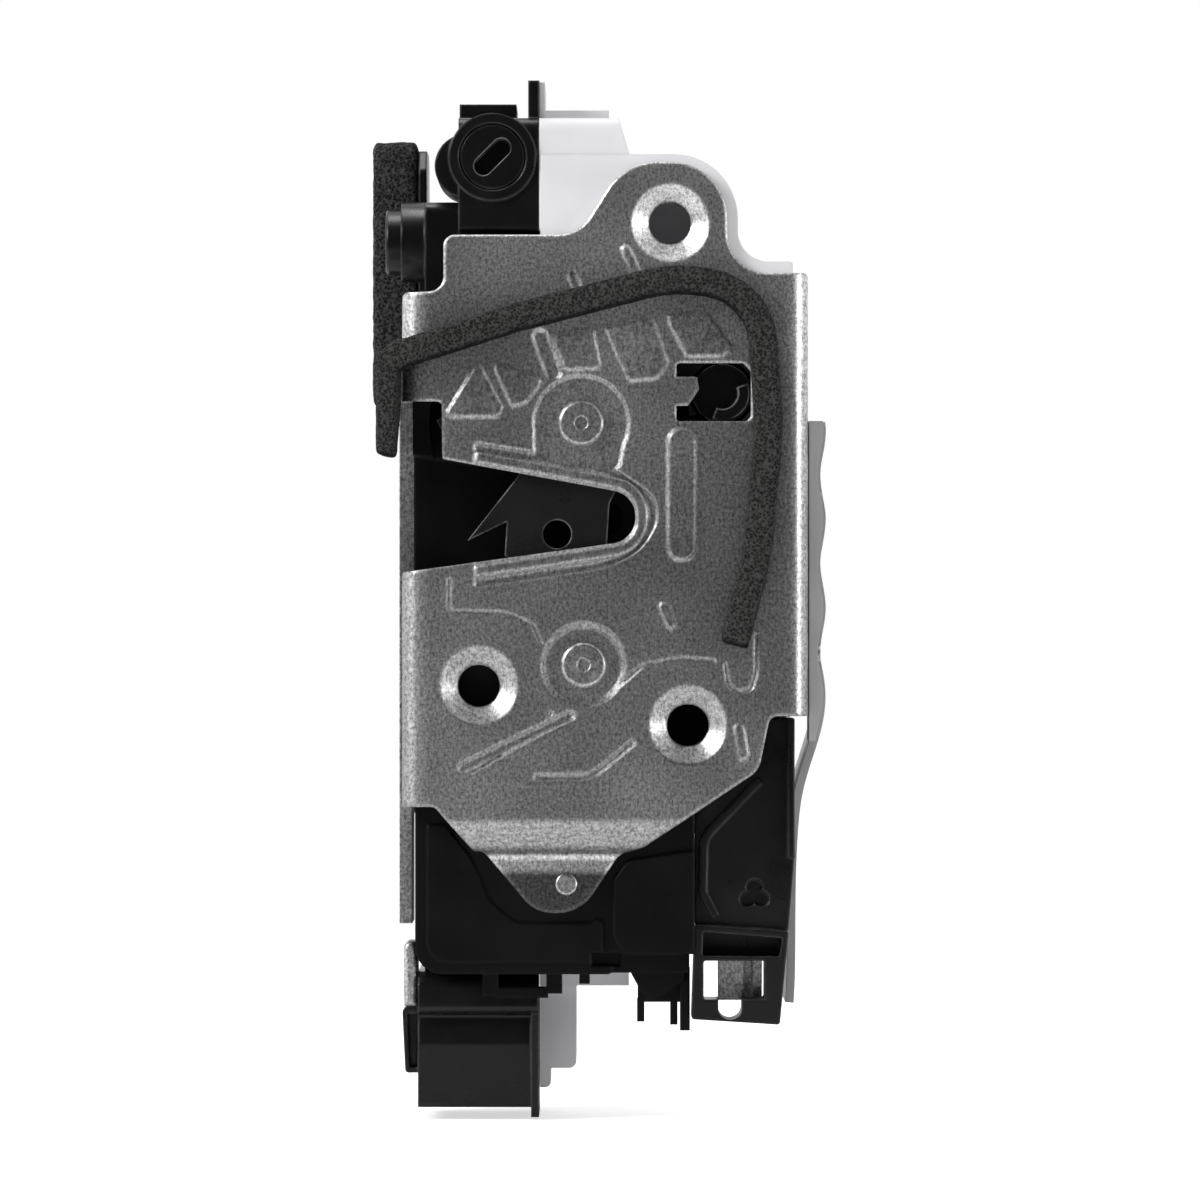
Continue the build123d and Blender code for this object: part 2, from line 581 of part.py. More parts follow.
with BuildPart() as tab_rivet:
    disc(tab_rivet_place, 1.8, joggle - 0.8, joggle)
    disc(tab_rivet_place, 0.98, joggle, low_front + 4.5)
    fillet(tab_rivet.edges().filter_by(GeomType.CIRCLE).group_by(Axis.Y)[0], 0.4)
    tab_rivet.part.label = "tab_rivet"


def coil_spring(centre, radius):
    """Coil of a torsion spring of round wire, about an axis along Y."""
    turns = 1.6
    pitch = spring_wire * 1.1
    start_y = floor_front + spring_wire * 0.6
    with BuildLine() as wire:
        Helix(pitch, pitch * turns, radius, center=(centre[0], start_y, centre[1]), direction=(0, 1, 0))
    with BuildSketch(Plane(wire.line @ 0, z_dir=wire.line % 0)) as section:
        Circle(spring_wire / 2)
    sweep(section.sketch, path=wire.line, is_frenet=True)


with BuildPart() as claw_spring:
    coil_spring(claw_axis, 6.2)
    claw_spring.part.label = "claw_spring"

with BuildPart() as pawl_spring:
    coil_spring(pawl_axis, 5.8)
    pawl_spring.part.label = "pawl_spring"

# Rubber stop at the end of the striker channel, behind the claw

with BuildPart() as striker_stop:
    slab([(-14.0, -43.2), (slot_end - 0.2, -42.9), (slot_end - 0.2, -52.3), (-14.0, -52.0)],
         [0.5, 4.0, 4.0, 0.5], floor_front + 0.1, spring_floor - 0.1)
    slab([(-16.0, -45.0), (slot_end - 2.2, -45.0), (slot_end - 2.2, -50.4), (-16.0, -50.4)],
         [0.5, 2.4, 2.4, 0.5], floor_front - 1, spring_floor + 1, mode=Mode.SUBTRACT)
    striker_stop.part.label = "striker_stop"

# Child lock rotor behind the right window

child_axis = (8.5, -27.5)
with BuildPart() as child_lock_rotor:
    disc(child_axis, 4.8, 5.0, floor_front - 0.2)
    disc(child_axis, 2.0, floor_front - 0.3, spring_floor - 0.3)
    pie(child_axis, 4.4, 250, 380, plate_t + 0.4, 5.2)
    disc(child_axis, 2.6, plate_t - 1, 5.0, mode=Mode.SUBTRACT)
    child_lock_rotor.part.label = "child_lock_rotor"

# Position switches of the claw and the pawl

with BuildPart() as claw_switch:
    block((12.4, 18.8), (2.4, 8.2), (-56.6, -40.0))
    block((13.6, 17.6), (3.2, 7.4), (-40.0, -38.4))
    chamfer(claw_switch.edges().filter_by(Axis.Y).group_by(Axis.Z)[0], 0.8)
    claw_switch.part.label = "claw_switch"

with BuildPart() as pawl_switch:
    block((11.8, 18.8), (2.4, 8.2), (-75.2, -62.0))
    block((10.0, 11.8), (3.2, 7.4), (-70.0, -66.0))
    chamfer(pawl_switch.edges().filter_by(Axis.Y).group_by(Axis.Z)[0], 0.8)
    pawl_switch.part.label = "pawl_switch"

# Seal strip on the face plate, with its tail down the left flange

with BuildPart() as foam_strip:
    strip([(-45.0, -21.8), (-25.0, -15.4), (0.3, -8.9), (14.4, -10.8), (16.1, -33.0), (14.0, -54.5),
           (10.3, -68.4)], [60, 22, 10.5, 60, 50], foam_w, -foam_h - seat_gap - bead_h / 2,
          -seat_gap - bead_h / 2)
    slab([(-47.6, -20.9), (-43.6, -19.8), (-44.0, -26.0), (-44.4, -38.2), (-47.6, -37.4)],
         0.4, -foam_h - seat_gap - bead_h / 2, -seat_gap - bead_h / 2)
    slab([(-47.6, -22.0), (plate_left - seat_gap, -22.0), (plate_left - seat_gap, -28.0), (-44.4, -38.2),
          (-47.6, -37.4)], 0.4, -1.0, 7.0)
    foam_strip.part.label = "foam_strip"

# Actuator case: a black shell at the left of the parting plane and a white one at its right

case_corners = [
    (tower_front, -1.2), (tower_front, case_top), (56.0, case_top), (case_depth, -8.0),
    (case_depth, -100.0), (62.0, case_bottom), (case_front, case_bottom), (case_front, -1.2),
]
case_radii = [0.8, 2, 9, 9, 10, 8, 3, 0]
low_case = [
    (case_front, 4.0), (60.0, 4.0), (case_depth, -8.0), (case_depth, -100.0), (62.0, case_bottom),
    (case_front, case_bottom),
]
low_radii = [2, 6, 9, 10, 8, 3]
with BuildPart() as actuator_case:
    panel(case_corners, case_radii, tower_left, parting_x)
    panel(low_case, low_radii, shell_left, tower_left + 1)
    block((parting_x - 1.8, parting_x), (tower_front + 2, 44.0), (case_top - 1, 23.3))
    block((tower_left, parting_x - 3.8), (16.0, 46.0), (case_top - 1, 20.0))
    disc((-33.0, 9.4), 5.2, tower_front + 1.5, 30.0)
    bar(key_axis, key_neck_r, key_neck_end, tower_left + 1)
    panel(case_corners, case_radii, tower_left + wall, parting_x + 1, inset=wall, mode=Mode.SUBTRACT)
    panel(low_case, low_radii, shell_left + wall, tower_left + wall + 1, inset=wall, mode=Mode.SUBTRACT)
    disc(rotor_axis, rotor_ring_r, tower_front - 0.6, tower_front + rotor_depth)
    block((tower_left + 1, rotor_axis[0]), (tower_front + 1, tower_front + rotor_depth - 2), (6.0, 15.6))
    disc(rotor_axis, rotor_r + turn_gap, tower_front - 2, tower_front + rotor_depth + 1, mode=Mode.SUBTRACT)
    disc(rotor_axis, rotor_r + 1.5, tower_front + rotor_depth, tower_front + rotor_depth + 3,
         mode=Mode.SUBTRACT)
    bar(key_axis, key_neck_r, shell_left, shell_left + 5)
    bar(key_axis, key_r + turn_gap, key_neck_end - 1, shell_left + 6, mode=Mode.SUBTRACT)
    bar(key_axis, key_r + 1.3, shell_left + 5, shell_left + 8, mode=Mode.SUBTRACT)
    for place in screw_places:
        bar(place, screw_boss_r, shell_left + wall - 0.5, parting_x)
        bar(place, screw_r - 0.3, parting_x - 10, parting_x + 1, mode=Mode.SUBTRACT)
    for place in ((wheel_y, wheel_z), (wheel_y, lock_z)):
        bar(place, axle_r + 1.6, shell_left + wall - 0.5, -34.0)
        bar(place, axle_r + running_gap, shell_left + wall - 0.8, -33.0, mode=Mode.SUBTRACT)
    for z in (motor_bottom + 5, motor_top - 6):
        block((shell_left + wall - 0.5, motor_axis[0] - motor_r * 0.6),
              (motor_axis[1] - 8.5, motor_axis[1] + 8.5), (z - 1, z + 1))
    post(motor_axis, motor_r + seat_gap, motor_bottom - 1, motor_top + 1, mode=Mode.SUBTRACT)
    blade_row(case_bottom - 1, case_bottom + wall + 1, mode=Mode.SUBTRACT)
    actuator_case.part.label = "actuator_case"

boss_corners = [
    (parting_x + 0.2, -8.9), (parting_x + 0.2, 11.2), (11.0, 11.2), (11.0, -6.2),
    (19.9, -6.2), (19.9, -8.9),
]
with BuildPart() as case_cover:
    panel(case_corners, case_radii, parting_x, cover_right)
    slab(boss_corners, [0, 0, 10.4, 5.0, 0.5, 0.3], plate_t + 0.1, housing_back)
    block((parting_x, parting_x + 0.9), (6.0, 44.0), (case_top - 1, 23.1))
    block((parting_x, -9.9), (14.0, 46.0), (case_top - 1, 18.9))
    block((parting_x, cover_right), (20.0, 50.0), (-124.3, case_bottom + 1))
    slab([(-21.15, -121.0), (-15.2, -121.0), (-15.2, -138.0), (-19.4, -138.0), (-19.4, -141.2),
          (-21.15, -141.2)],
         [0, 0, 1.2, 0.3, 1.0, 0], 24.0, 48.0)
    panel(case_corners, case_radii, parting_x - 1, cover_right - wall, inset=wall, mode=Mode.SUBTRACT)
    disc(fixings[0], collar_r + collar_gap + sleeve_wall, housing_back - 1, sleeve_back + sleeve_wall)
    disc(fixings[0], collar_r + collar_gap, 0, sleeve_back, mode=Mode.SUBTRACT)
    for centre in (claw_axis, pawl_axis):
        disc(centre, tail_head_r + seat_gap, back_plate_back, back_plate_back + tail_head_h + seat_gap,
             mode=Mode.SUBTRACT)
    slab([(cover_right, 18.0), (-8.6, 18.0), (cover_right, 11.3)], 0, 0, 60, mode=Mode.SUBTRACT)
    for place in screw_places:
        bar(place, screw_boss_r, parting_x, cover_right - wall + 0.5)
        bar(place, screw_r + 0.1, parting_x - 1, cover_right + 1, mode=Mode.SUBTRACT)
    for place in ((wheel_y, wheel_z), (wheel_y, lock_z)):
        bar(place, axle_r + 1.6, -13.0, cover_right - wall + 0.5)
        bar(place, axle_r + running_gap, -14.0, cover_right - wall + 0.5, mode=Mode.SUBTRACT)
    bar(lever_axis, lever_shaft_r + 2, cover_right - wall - 4, cover_right - wall + 0.5)
    bar(lever_axis, lever_shaft_r + running_gap, cover_right - wall - 2, cover_right + 1, mode=Mode.SUBTRACT)
    case_cover.part.label = "case_cover"

with BuildPart() as case_screws:
    for place in screw_places:
        bar(place, 2.6, cover_right, cover_right + 1.6)
        bar(place, screw_r, parting_x, cover_right)
        bar(place, screw_r - 0.32, parting_x - 9, parting_x)
    case_screws.part.label = "case_screws"

# Emergency lock rotor, turned with a key blade from the door's edge

with BuildPart() as emergency_rotor:
    disc(rotor_axis, rotor_r, tower_front - 0.4, tower_front + rotor_depth + 0.3)
    disc(rotor_axis, rotor_r + 1.2, tower_front + rotor_depth + 0.3, tower_front + rotor_depth + 2)
    fillet(emergency_rotor.edges().filter_by(GeomType.CIRCLE).group_by(Axis.Y)[0], 0.4)
    capsule(polar(rotor_axis, 2.1, 225), polar(rotor_axis, 2.1, 45), 3.0, -1, tower_front + 3.2,
            mode=Mode.SUBTRACT)
    emergency_rotor.part.label = "emergency_rotor"

# Key coupling, a sleeve with a square socket for the rod of the lock cylinder

with BuildPart() as key_coupling:
    bar(key_axis, key_r, key_end, shell_left + 5.4)
    bar(key_axis, key_r + 1.0, shell_left + 5.4, shell_left + 7)
    fillet(key_coupling.edges().filter_by(GeomType.CIRCLE).group_by(Axis.X)[0], 0.5)
    block((key_end - 1, key_end + 8), (key_axis[0] - key_square / 2, key_axis[0] + key_square / 2),
          (key_axis[1] - key_square / 2, key_axis[1] + key_square / 2), mode=Mode.SUBTRACT)
    key_coupling.part.label = "key_coupling"

# Foam block at the left with its carrier

with BuildPart() as foam_carrier:
    panel([(33.0, -28.0), (62.0, -28.0), (62.0, 12.0), (58.0, 13.3), (37.0, 13.3), (33.0, 10.0)],
          1.5, shell_left - carrier_t, shell_left)
    foam_carrier.part.label = "foam_carrier"

with BuildPart() as foam_block:
    panel([(34.0, -29.0), (61.0, -29.0), (61.0, 14.7), (34.0, 14.7)], 2.0,
          foam_block_left, shell_left - carrier_t - seat_gap / 2)
    foam_block.part.label = "foam_block"

# Connector collar below the case, open downwards, and its blades

collar_side = [
    (case_front, case_bottom), (13.0, -123.0), (12.4, -128.3), (15.4, -128.9), (14.4, -133.6),
    (14.4, socket_bottom), (45.0, socket_bottom), (45.0, case_bottom),
]
with BuildPart() as connector_collar:
    panel(collar_side, [0, 2.5, 1.0, 0.5, 1.0, 0.8, 2, 0], collar_left, collar_right - 0.4)
    panel([(13.4, -126.0), (46.0, -126.0), (46.0, -145.6), (13.4, -145.6)], 0.8,
          collar_right - 1.6, collar_right - 0.3)
    block((collar_left + 1.8, collar_right - 2.6), (17.0, 42.6), (socket_bottom - 1, -126.0),
          mode=Mode.SUBTRACT)
    blade_row(-127.0, case_bottom + 1, mode=Mode.SUBTRACT)
    slab([(-43.7, -127.7), (collar_left + 0.5, -127.7), (collar_left + 0.5, -138.4), (-43.2, -138.4)],
         [0.8, 0, 0, 0.6], 16.0, 30.0)
    slab([(-42.9, -128.7), (collar_left - 0.1, -128.7), (collar_left - 0.1, -137.6), (-42.5, -137.6)],
         0.3, 15.0, 20.0, mode=Mode.SUBTRACT)
    connector_collar.part.label = "connector_collar"

with BuildPart() as connector_pins:
    blade_row(pin_tip, pin_top)
    connector_pins.part.label = "connector_pins"

with BuildPart() as connector_lock_bar:
    slab([(-43.4, -127.5), (-43.4, -116.8), (collar_left, -116.8), (collar_left, -127.5)],
         [0.2, 1.1, 1.1, 0.2], 14.0, 24.0)
    fillet(connector_lock_bar.edges().filter_by(Axis.Z).group_by(Axis.Y)[0], 0.9)
    connector_lock_bar.part.label = "connector_lock_bar"

# Terminal block that holds the blades, and the two leads up to the motor

with BuildPart() as terminal_block:
    block((-38.0, -23.4), (26.8, 33.0), (case_bottom + wall, -114.0))
    chamfer(terminal_block.edges().group_by(Axis.Z)[-1], 0.6)
    blade_row(case_bottom, -113.0, mode=Mode.SUBTRACT)
    terminal_block.part.label = "terminal_block"

with BuildPart() as motor_leads:
    for x in (pin_places[3], pin_places[5]):
        lead_x = (x - pin_w / 2, x + pin_w / 2)
        block(lead_x, pin_y, (pin_top, -104.0))
        block(lead_x, (pin_y[0], 56.0), (-105.6, -104.0))
        block(lead_x, (54.4, 56.0), (-104.2, motor_bottom))
    motor_leads.part.label = "motor_leads"

# Lock motor with its shaft and worm

with BuildPart() as lock_motor:
    post(motor_axis, motor_r, motor_bottom, motor_top)
    block((motor_axis[0] - motor_r, motor_axis[0] + motor_r),
          (motor_axis[1] - motor_flat / 2, motor_axis[1] + motor_flat / 2), (motor_bottom, motor_top),
          mode=Mode.INTERSECT)
    fillet(lock_motor.edges().group_by(Axis.Z)[-1], 1.0)
    post(motor_axis, 3.0, motor_top, motor_top + 2.0)
    post(motor_axis, motor_shaft_r + running_gap, motor_top - 6, motor_top + 3, mode=Mode.SUBTRACT)
    lock_motor.part.label = "lock_motor"

with BuildPart() as motor_shaft:
    post(motor_axis, motor_shaft_r, motor_top - 5.5, worm_high + 1)
    motor_shaft.part.label = "motor_shaft"

worm_pitch = pi * gear_module
with BuildPart() as worm:
    post(motor_axis, worm_root_r, worm_low, worm_high)
    thread_start = wheel_z - worm_pitch * 1.25
    with BuildLine() as thread_line:
        Helix(worm_pitch, worm_pitch * 3, worm_root_r - 0.2, center=(*motor_axis, thread_start))
    with BuildSketch(Plane((motor_axis[0] + worm_root_r - 0.2, motor_axis[1], thread_start),
                           x_dir=(1, 0, 0), z_dir=(0, 1, 0))) as thread:
        with BuildLine():
            Polyline((0, -0.65), (worm_r - worm_root_r + 0.2, -0.35), (worm_r - worm_root_r + 0.2, 0.35),
                     (0, 0.65), close=True)
        make_face()
    sweep(thread.sketch, path=thread_line.line, is_frenet=True)
    post(motor_axis, motor_shaft_r, worm_low - 1, worm_high + 1, mode=Mode.SUBTRACT)
    worm.part.label = "worm"


def toothed(centre, root_r, tip_r, root_w, tip_w, angles, left, right):
    """Straight teeth on a wheel about an axis along X, at the given angles."""
    with BuildSketch(Plane((left, *centre), x_dir=(0, 1, 0), z_dir=(1, 0, 0))) as section:
        for angle in angles:
            with Locations(Location((0, 0, 0), (0, 0, angle))):
                Polygon((root_r - 1, -root_w / 2), (tip_r, -tip_w / 2), (tip_r, tip_w / 2),
                        (root_r - 1, root_w / 2), align=None)
    extrude(section.sketch, amount=right - left, dir=(1, 0, 0))


wheel_centre = (wheel_y, wheel_z)
lock_centre = (wheel_y, lock_z)
hub_r = 3.4
hub_x = (-33.8, -13.2)
with BuildPart() as worm_wheel:
    bar(wheel_centre, wheel_pitch_r - 1.1, *wheel_x)
    toothed(wheel_centre, wheel_pitch_r - 1.1, wheel_pitch_r + 0.8, 1.2, 0.7,
            [360 / wheel_teeth * index for index in range(wheel_teeth)], *wheel_x)
    bar(wheel_centre, pinion_pitch_r - 1.4, *pinion_x)
    toothed(wheel_centre, pinion_pitch_r - 1.4, pinion_pitch_r + 0.9, 2.0, 0.9,
            [90 + 360 / pinion_teeth * index for index in range(pinion_teeth)], *pinion_x)
    bar(wheel_centre, hub_r, *hub_x)
    bar(wheel_centre, axle_r + running_gap, hub_x[0] - 1, hub_x[1] + 1, mode=Mode.SUBTRACT)
    worm_wheel.part.label = "worm_wheel"

lock_lever_x = (-29.8, -26.4)
with BuildPart() as lock_lever:
    with BuildSketch(Plane((lock_lever_x[0], *lock_centre), x_dir=(0, 1, 0), z_dir=(1, 0, 0))) as sector:
        with BuildLine():
            CenterArc((0, 0), sector_pitch_r - 1.4, 212, 80)
            Polyline(polar((0, 0), sector_pitch_r - 1.4, 292), (0, 0),
                     polar((0, 0), sector_pitch_r - 1.4, 212))
        make_face()
    extrude(sector.sketch, amount=lock_lever_x[1] - lock_lever_x[0], dir=(1, 0, 0))
    toothed(lock_centre, sector_pitch_r - 1.4, sector_pitch_r + 0.9, 2.0, 0.9,
            [216 + 360 / sector_teeth * index for index in range(7)], *lock_lever_x)
    panel([(lock_centre[0] - 5, lock_centre[1] - 2), (lock_centre[0] + 5, lock_centre[1] - 2),
           (lock_centre[0] + 2, lock_centre[1] + 20), (lock_centre[0] - 4, lock_centre[1] + 20)],
          [1, 1, 2.4, 2.4], *lock_lever_x)
    bar(lock_centre, 5.4, *lock_lever_x)
    bar(lock_centre, hub_r, *hub_x)
    bar(lock_centre, axle_r + running_gap, hub_x[0] - 1, hub_x[1] + 1, mode=Mode.SUBTRACT)
    lock_lever.part.label = "lock_lever"

with BuildPart() as gear_axles:
    for centre in (wheel_centre, lock_centre):
        bar(centre, axle_r, shell_left + wall - 0.6, cover_right - wall + 0.3)
    gear_axles.part.label = "gear_axles"

# Release levers: bell cranks on one shaft that press the pawl's tongue down

with BuildPart() as outer_release_lever:
    outer_x = (outer_lever_x, outer_lever_x + lever_t)
    arm_x = (cable_arm_x, cable_arm_x + lever_t)
    panel([(16.2, -66.2), (22.4, -66.2), (26.0, -79.0), (31.0, -89.5), (36.5, -84.0), (30.0, -70.0),
           (24.4, -62.6), (16.2, -63.2)], [0.5, 1, 2, 2.5, 2.5, 3, 1.5, 1], *outer_x)
    panel([(25.8, -82.0), (36.2, -82.0), (31.5, -100.0), (24.6, -116.0), (24.4, -125.0), (19.0, -125.0),
           (19.0, -117.5), (24.0, -100.0)], [2, 2, 8, 4, 1.5, 1.5, 3, 8], *arm_x)
    bar(lever_axis, lever_boss_r, *arm_x)
    bar(lever_axis, lever_shaft_r + 1.6, outer_lever_x, arm_x[1])
    bar(lever_axis, lever_shaft_r + running_gap, outer_lever_x - 1, arm_x[1] + 1, mode=Mode.SUBTRACT)
    bar((21.8, -122.3), 1.2, cable_arm_x - 1, arm_x[1] + 1, mode=Mode.SUBTRACT)
    block((cable_arm_x, cable_arm_x + 4.3), (18.6, 20.2), (-126.6, -117.4))
    block((cable_arm_x, shoe_right), (23.0, 24.6), (-126.6, -117.4))
    block((shoe_right - 1.6, shoe_right), (18.6, 24.6), (-126.6, -117.4))
    outer_release_lever.part.label = "outer_release_lever"

with BuildPart() as inner_release_lever:
    inner_x = (inner_lever_x, inner_lever_x + lever_t)
    panel([(16.2, -67.3), (22.4, -67.3), (26.0, -79.0), (31.0, -89.5), (36.5, -84.0), (30.0, -71.0),
           (24.4, -63.7), (16.2, -64.3)], [0.5, 1, 2, 2.5, 2.5, 3, 1.5, 1], *inner_x)
    panel([(32.0, -79.0), (59.0, -65.5), (64.6, -69.5), (61.5, -74.5), (34.0, -89.0)],
          [1, 2, 2, 2, 1], *inner_x)
    bar(lever_axis, lever_shaft_r + 1.6, cover_right + 0.2, outer_lever_x - 0.2)
    bar(lever_axis, lever_shaft_r + running_gap, cover_right - 1, outer_lever_x + 1, mode=Mode.SUBTRACT)
    bar((60.6, -70.0), 1.4, inner_lever_x - 1, inner_x[1] + 1, mode=Mode.SUBTRACT)
    inner_release_lever.part.label = "inner_release_lever"

with BuildPart() as lever_shaft:
    bar(lever_axis, lever_shaft_r, cover_right - wall - 1.8, back_flange_x + back_t)
    bar(lever_axis, lever_shaft_r + 1.4, back_flange_x + back_t, back_flange_x + back_t + 1.0)
    lever_shaft.part.label = "lever_shaft"

with BuildPart() as lever_spacer:
    spacer_x = (cable_arm_x + lever_t + 0.2, back_flange_x - 0.1)
    bar(lever_axis, lever_shaft_r + 1.5, *spacer_x)
    bar(lever_axis, lever_shaft_r + running_gap, spacer_x[0] - 1, spacer_x[1] + 1, mode=Mode.SUBTRACT)
    lever_spacer.part.label = "lever_spacer"

# Cable bracket at the lower right

bracket_left = 4.06
bracket_web = [
    (bracket_left, -96.4), (6.3, -93.9), (13.6, -88.4), (15.4, -80.4), (20.3, -80.2), (20.3, -103.0),
    (19.3, -115.0), (bracket_left, -114.0),
]
bracket_front = 5.0
window = (5.5, 15.4, -126.0, -119.7)
with BuildPart() as cable_bracket:
    slab(bracket_web, [0.4, 0.6, 1, 0.4, 0.4, 2, 0.4, 0.4], 8.0, 10.6)
    slab([(bracket_left, -113.8), (19.3, -114.9), (17.9, -130.1), (3.5, -129.2)], 0.5, bracket_front, 17.6)
    slab([(5.4, -115.0), (18.3, -116.0), (17.8, -119.0), (5.3, -118.9)], 0.4, bracket_front - 1, 14.6,
         mode=Mode.SUBTRACT)
    slab([(window[0], window[2]), (window[1], window[2]), (window[1], window[3]), (window[0], window[3])],
         0.4, bracket_front - 1, 19.0, mode=Mode.SUBTRACT)
    disc((9.8, -127.4), 1.9, bracket_front - 1, 19.0, mode=Mode.SUBTRACT)
    block((7.9, 11.7), (bracket_front - 1, 19.0), (-127.4, -125.5), mode=Mode.SUBTRACT)
    strip([(14.6, -90.5), (5.6, -99.8), (5.4, -108.6), (7.4, -112.6)], [4, 2], 1.2, 6.4, 8.2)
    block((19.2, 20.3), (bracket_front, 10.6), (-103.0, -80.4))
    for angle in (90, 210, 330):
        disc(polar((13.8, -109.1), 1.3, angle), 1.3, 7.0, 10.0, mode=Mode.SUBTRACT)
    block((bracket_left, 6.4), (10.0, housing_back), (-112.0, -100.0))
    cable_bracket.part.label = "cable_bracket"

# Side shield with its waved outer face

wave_top = -32.0
wave_low = -78.0
wave_steps = 13
wave_line = []
for index in range(wave_steps):
    z = wave_top + (wave_low - wave_top) * index / (wave_steps - 1)
    wave_line.append((shield_x - shield_t / 2 + shield_wave * cos(2 * pi * (z + 33.5) / shield_pitch), z))
taper_line = [(23.7, -84.0), (21.3, -92.0), (20.4, -99.0), (20.0, -112.0), (19.7, -127.0)]
with BuildPart() as side_shield:
    with BuildSketch(face(20.0)) as rail:
        with BuildLine():
            outer = Spline(*wave_line)
            Polyline(outer @ 1, (23.6, -84.0), (plate_right + seat_gap, -84.0),
                     (plate_right + seat_gap, wave_top),
                     outer @ 0)
        make_face()
    extrude(rail.sketch, amount=16.0, dir=(0, -1, 0))
    with BuildSketch(face(56.0)) as sheet:
        with BuildLine():
            Spline(*wave_line, *taper_line)
        trace(line_width=shield_t)
    extrude(sheet.sketch, amount=38.0, dir=(0, -1, 0))
    for place in shield_rivet_places:
        bar(place, shield_rivet_r, plate_right, shield_x + 2, mode=Mode.SUBTRACT)
    side_shield.part.label = "side_shield"

with BuildPart() as shield_rivets:
    for place in shield_rivet_places:
        bar(place, shield_rivet_r - 0.02, plate_right - plate_t, shield_x - shield_wave)
        bar(place, shield_rivet_r + 1.2, plate_right - plate_t - 0.8, plate_right - plate_t)
    shield_rivets.part.label = "shield_rivets"

# Return spring of the outer release lever, round the spacer

with BuildPart() as release_spring:
    with BuildLine() as release_wire:
        Helix(1.3, 3.9, lever_shaft_r + 2.3, center=(spacer_x[0] + 0.8, *lever_axis), direction=(1, 0, 0))
    with BuildSketch(Plane(release_wire.line @ 0, z_dir=release_wire.line % 0)) as release_section:
        Circle(spring_wire / 2 - 0.1)
    sweep(release_section.sketch, path=release_wire.line, is_frenet=True)
    release_spring.part.label = "release_spring"

pieces = [
    latch_plate, back_plate, latch_housing, claw_core, claw_cover, pawl_core, pawl_cover, claw_rivet,
    pawl_rivet, tab_rivet, claw_spring, pawl_spring, striker_stop, child_lock_rotor, claw_switch,
    pawl_switch, foam_strip, actuator_case, case_cover, case_screws, emergency_rotor, key_coupling,
    foam_carrier, foam_block, connector_collar, connector_pins, connector_lock_bar, terminal_block,
    motor_leads, lock_motor, motor_shaft, worm, worm_wheel, lock_lever, gear_axles, outer_release_lever,
    inner_release_lever, lever_shaft, lever_spacer, release_spring, cable_bracket, side_shield,
    shield_rivets,
]
for piece in pieces:
    export_step(piece.part, f"parts/{piece.part.label}.step")
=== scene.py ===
# %% [markdown]
# # A car door latch with its actuator
# The object is the latch from the edge of a car door: a pressed steel face plate with a slot for the
# striker, a claw and a pawl behind it, and a plastic case with the lock motor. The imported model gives
# every part in its place, in metres. This script gives the parts their finishes, softens the edges
# that a press or a mould would leave round, and adds the pieces that are easier to shape by hand.

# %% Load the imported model
import bmesh
import bpy
import math
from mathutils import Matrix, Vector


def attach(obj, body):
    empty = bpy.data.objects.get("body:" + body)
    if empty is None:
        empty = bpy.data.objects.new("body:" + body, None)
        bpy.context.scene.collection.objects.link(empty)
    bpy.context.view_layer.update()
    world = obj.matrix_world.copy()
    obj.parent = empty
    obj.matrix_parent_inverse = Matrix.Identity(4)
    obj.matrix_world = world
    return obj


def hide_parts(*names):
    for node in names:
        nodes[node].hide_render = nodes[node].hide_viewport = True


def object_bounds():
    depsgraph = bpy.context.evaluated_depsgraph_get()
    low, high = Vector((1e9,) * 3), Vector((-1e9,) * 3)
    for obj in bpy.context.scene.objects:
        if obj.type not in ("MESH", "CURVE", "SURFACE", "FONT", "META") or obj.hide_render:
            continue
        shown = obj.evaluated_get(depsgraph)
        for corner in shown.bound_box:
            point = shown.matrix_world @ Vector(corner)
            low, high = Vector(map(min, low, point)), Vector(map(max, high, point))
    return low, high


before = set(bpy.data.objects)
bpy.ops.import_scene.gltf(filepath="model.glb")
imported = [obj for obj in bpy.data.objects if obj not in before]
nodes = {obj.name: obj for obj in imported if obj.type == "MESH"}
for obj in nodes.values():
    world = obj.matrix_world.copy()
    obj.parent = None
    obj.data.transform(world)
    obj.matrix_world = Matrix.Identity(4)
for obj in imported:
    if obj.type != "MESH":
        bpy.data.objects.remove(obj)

cad_low, cad_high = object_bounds()
bpy.ops.object.select_all(action="DESELECT")
print("parts loaded:", len(nodes))

# %% [markdown]
# ## Camera
# The photograph is a straight view of the face plate, with hardly any perspective, so the lens is
# long and stands far back. At the face plate the frame is 194.4 mm wide.

# %% Camera at the photograph's angle
frame_width = 0.1944
lens = 300.0
view_middle = (-0.01134, -0.06107)
bpy.ops.object.camera_add(location=(view_middle[0], -frame_width * lens / 36.0, view_middle[1]),
                          rotation=(math.radians(90), 0, 0))
camera = bpy.context.object
camera.name = "camera"
camera.data.lens = lens
camera.data.sensor_width = 36.0
camera.data.clip_end = 20.0
bpy.context.scene.camera = camera
print("camera distance in metres:", round(-camera.location.y, 3))

# %% [markdown]
# ## Studio
# The photograph has a pure white background and soft light from all round. The world is white to the
# camera and in reflections, and weaker as a light, so the white behind the part adds no glare to it.
# Three large area lamps give the soft highlights along the bends.

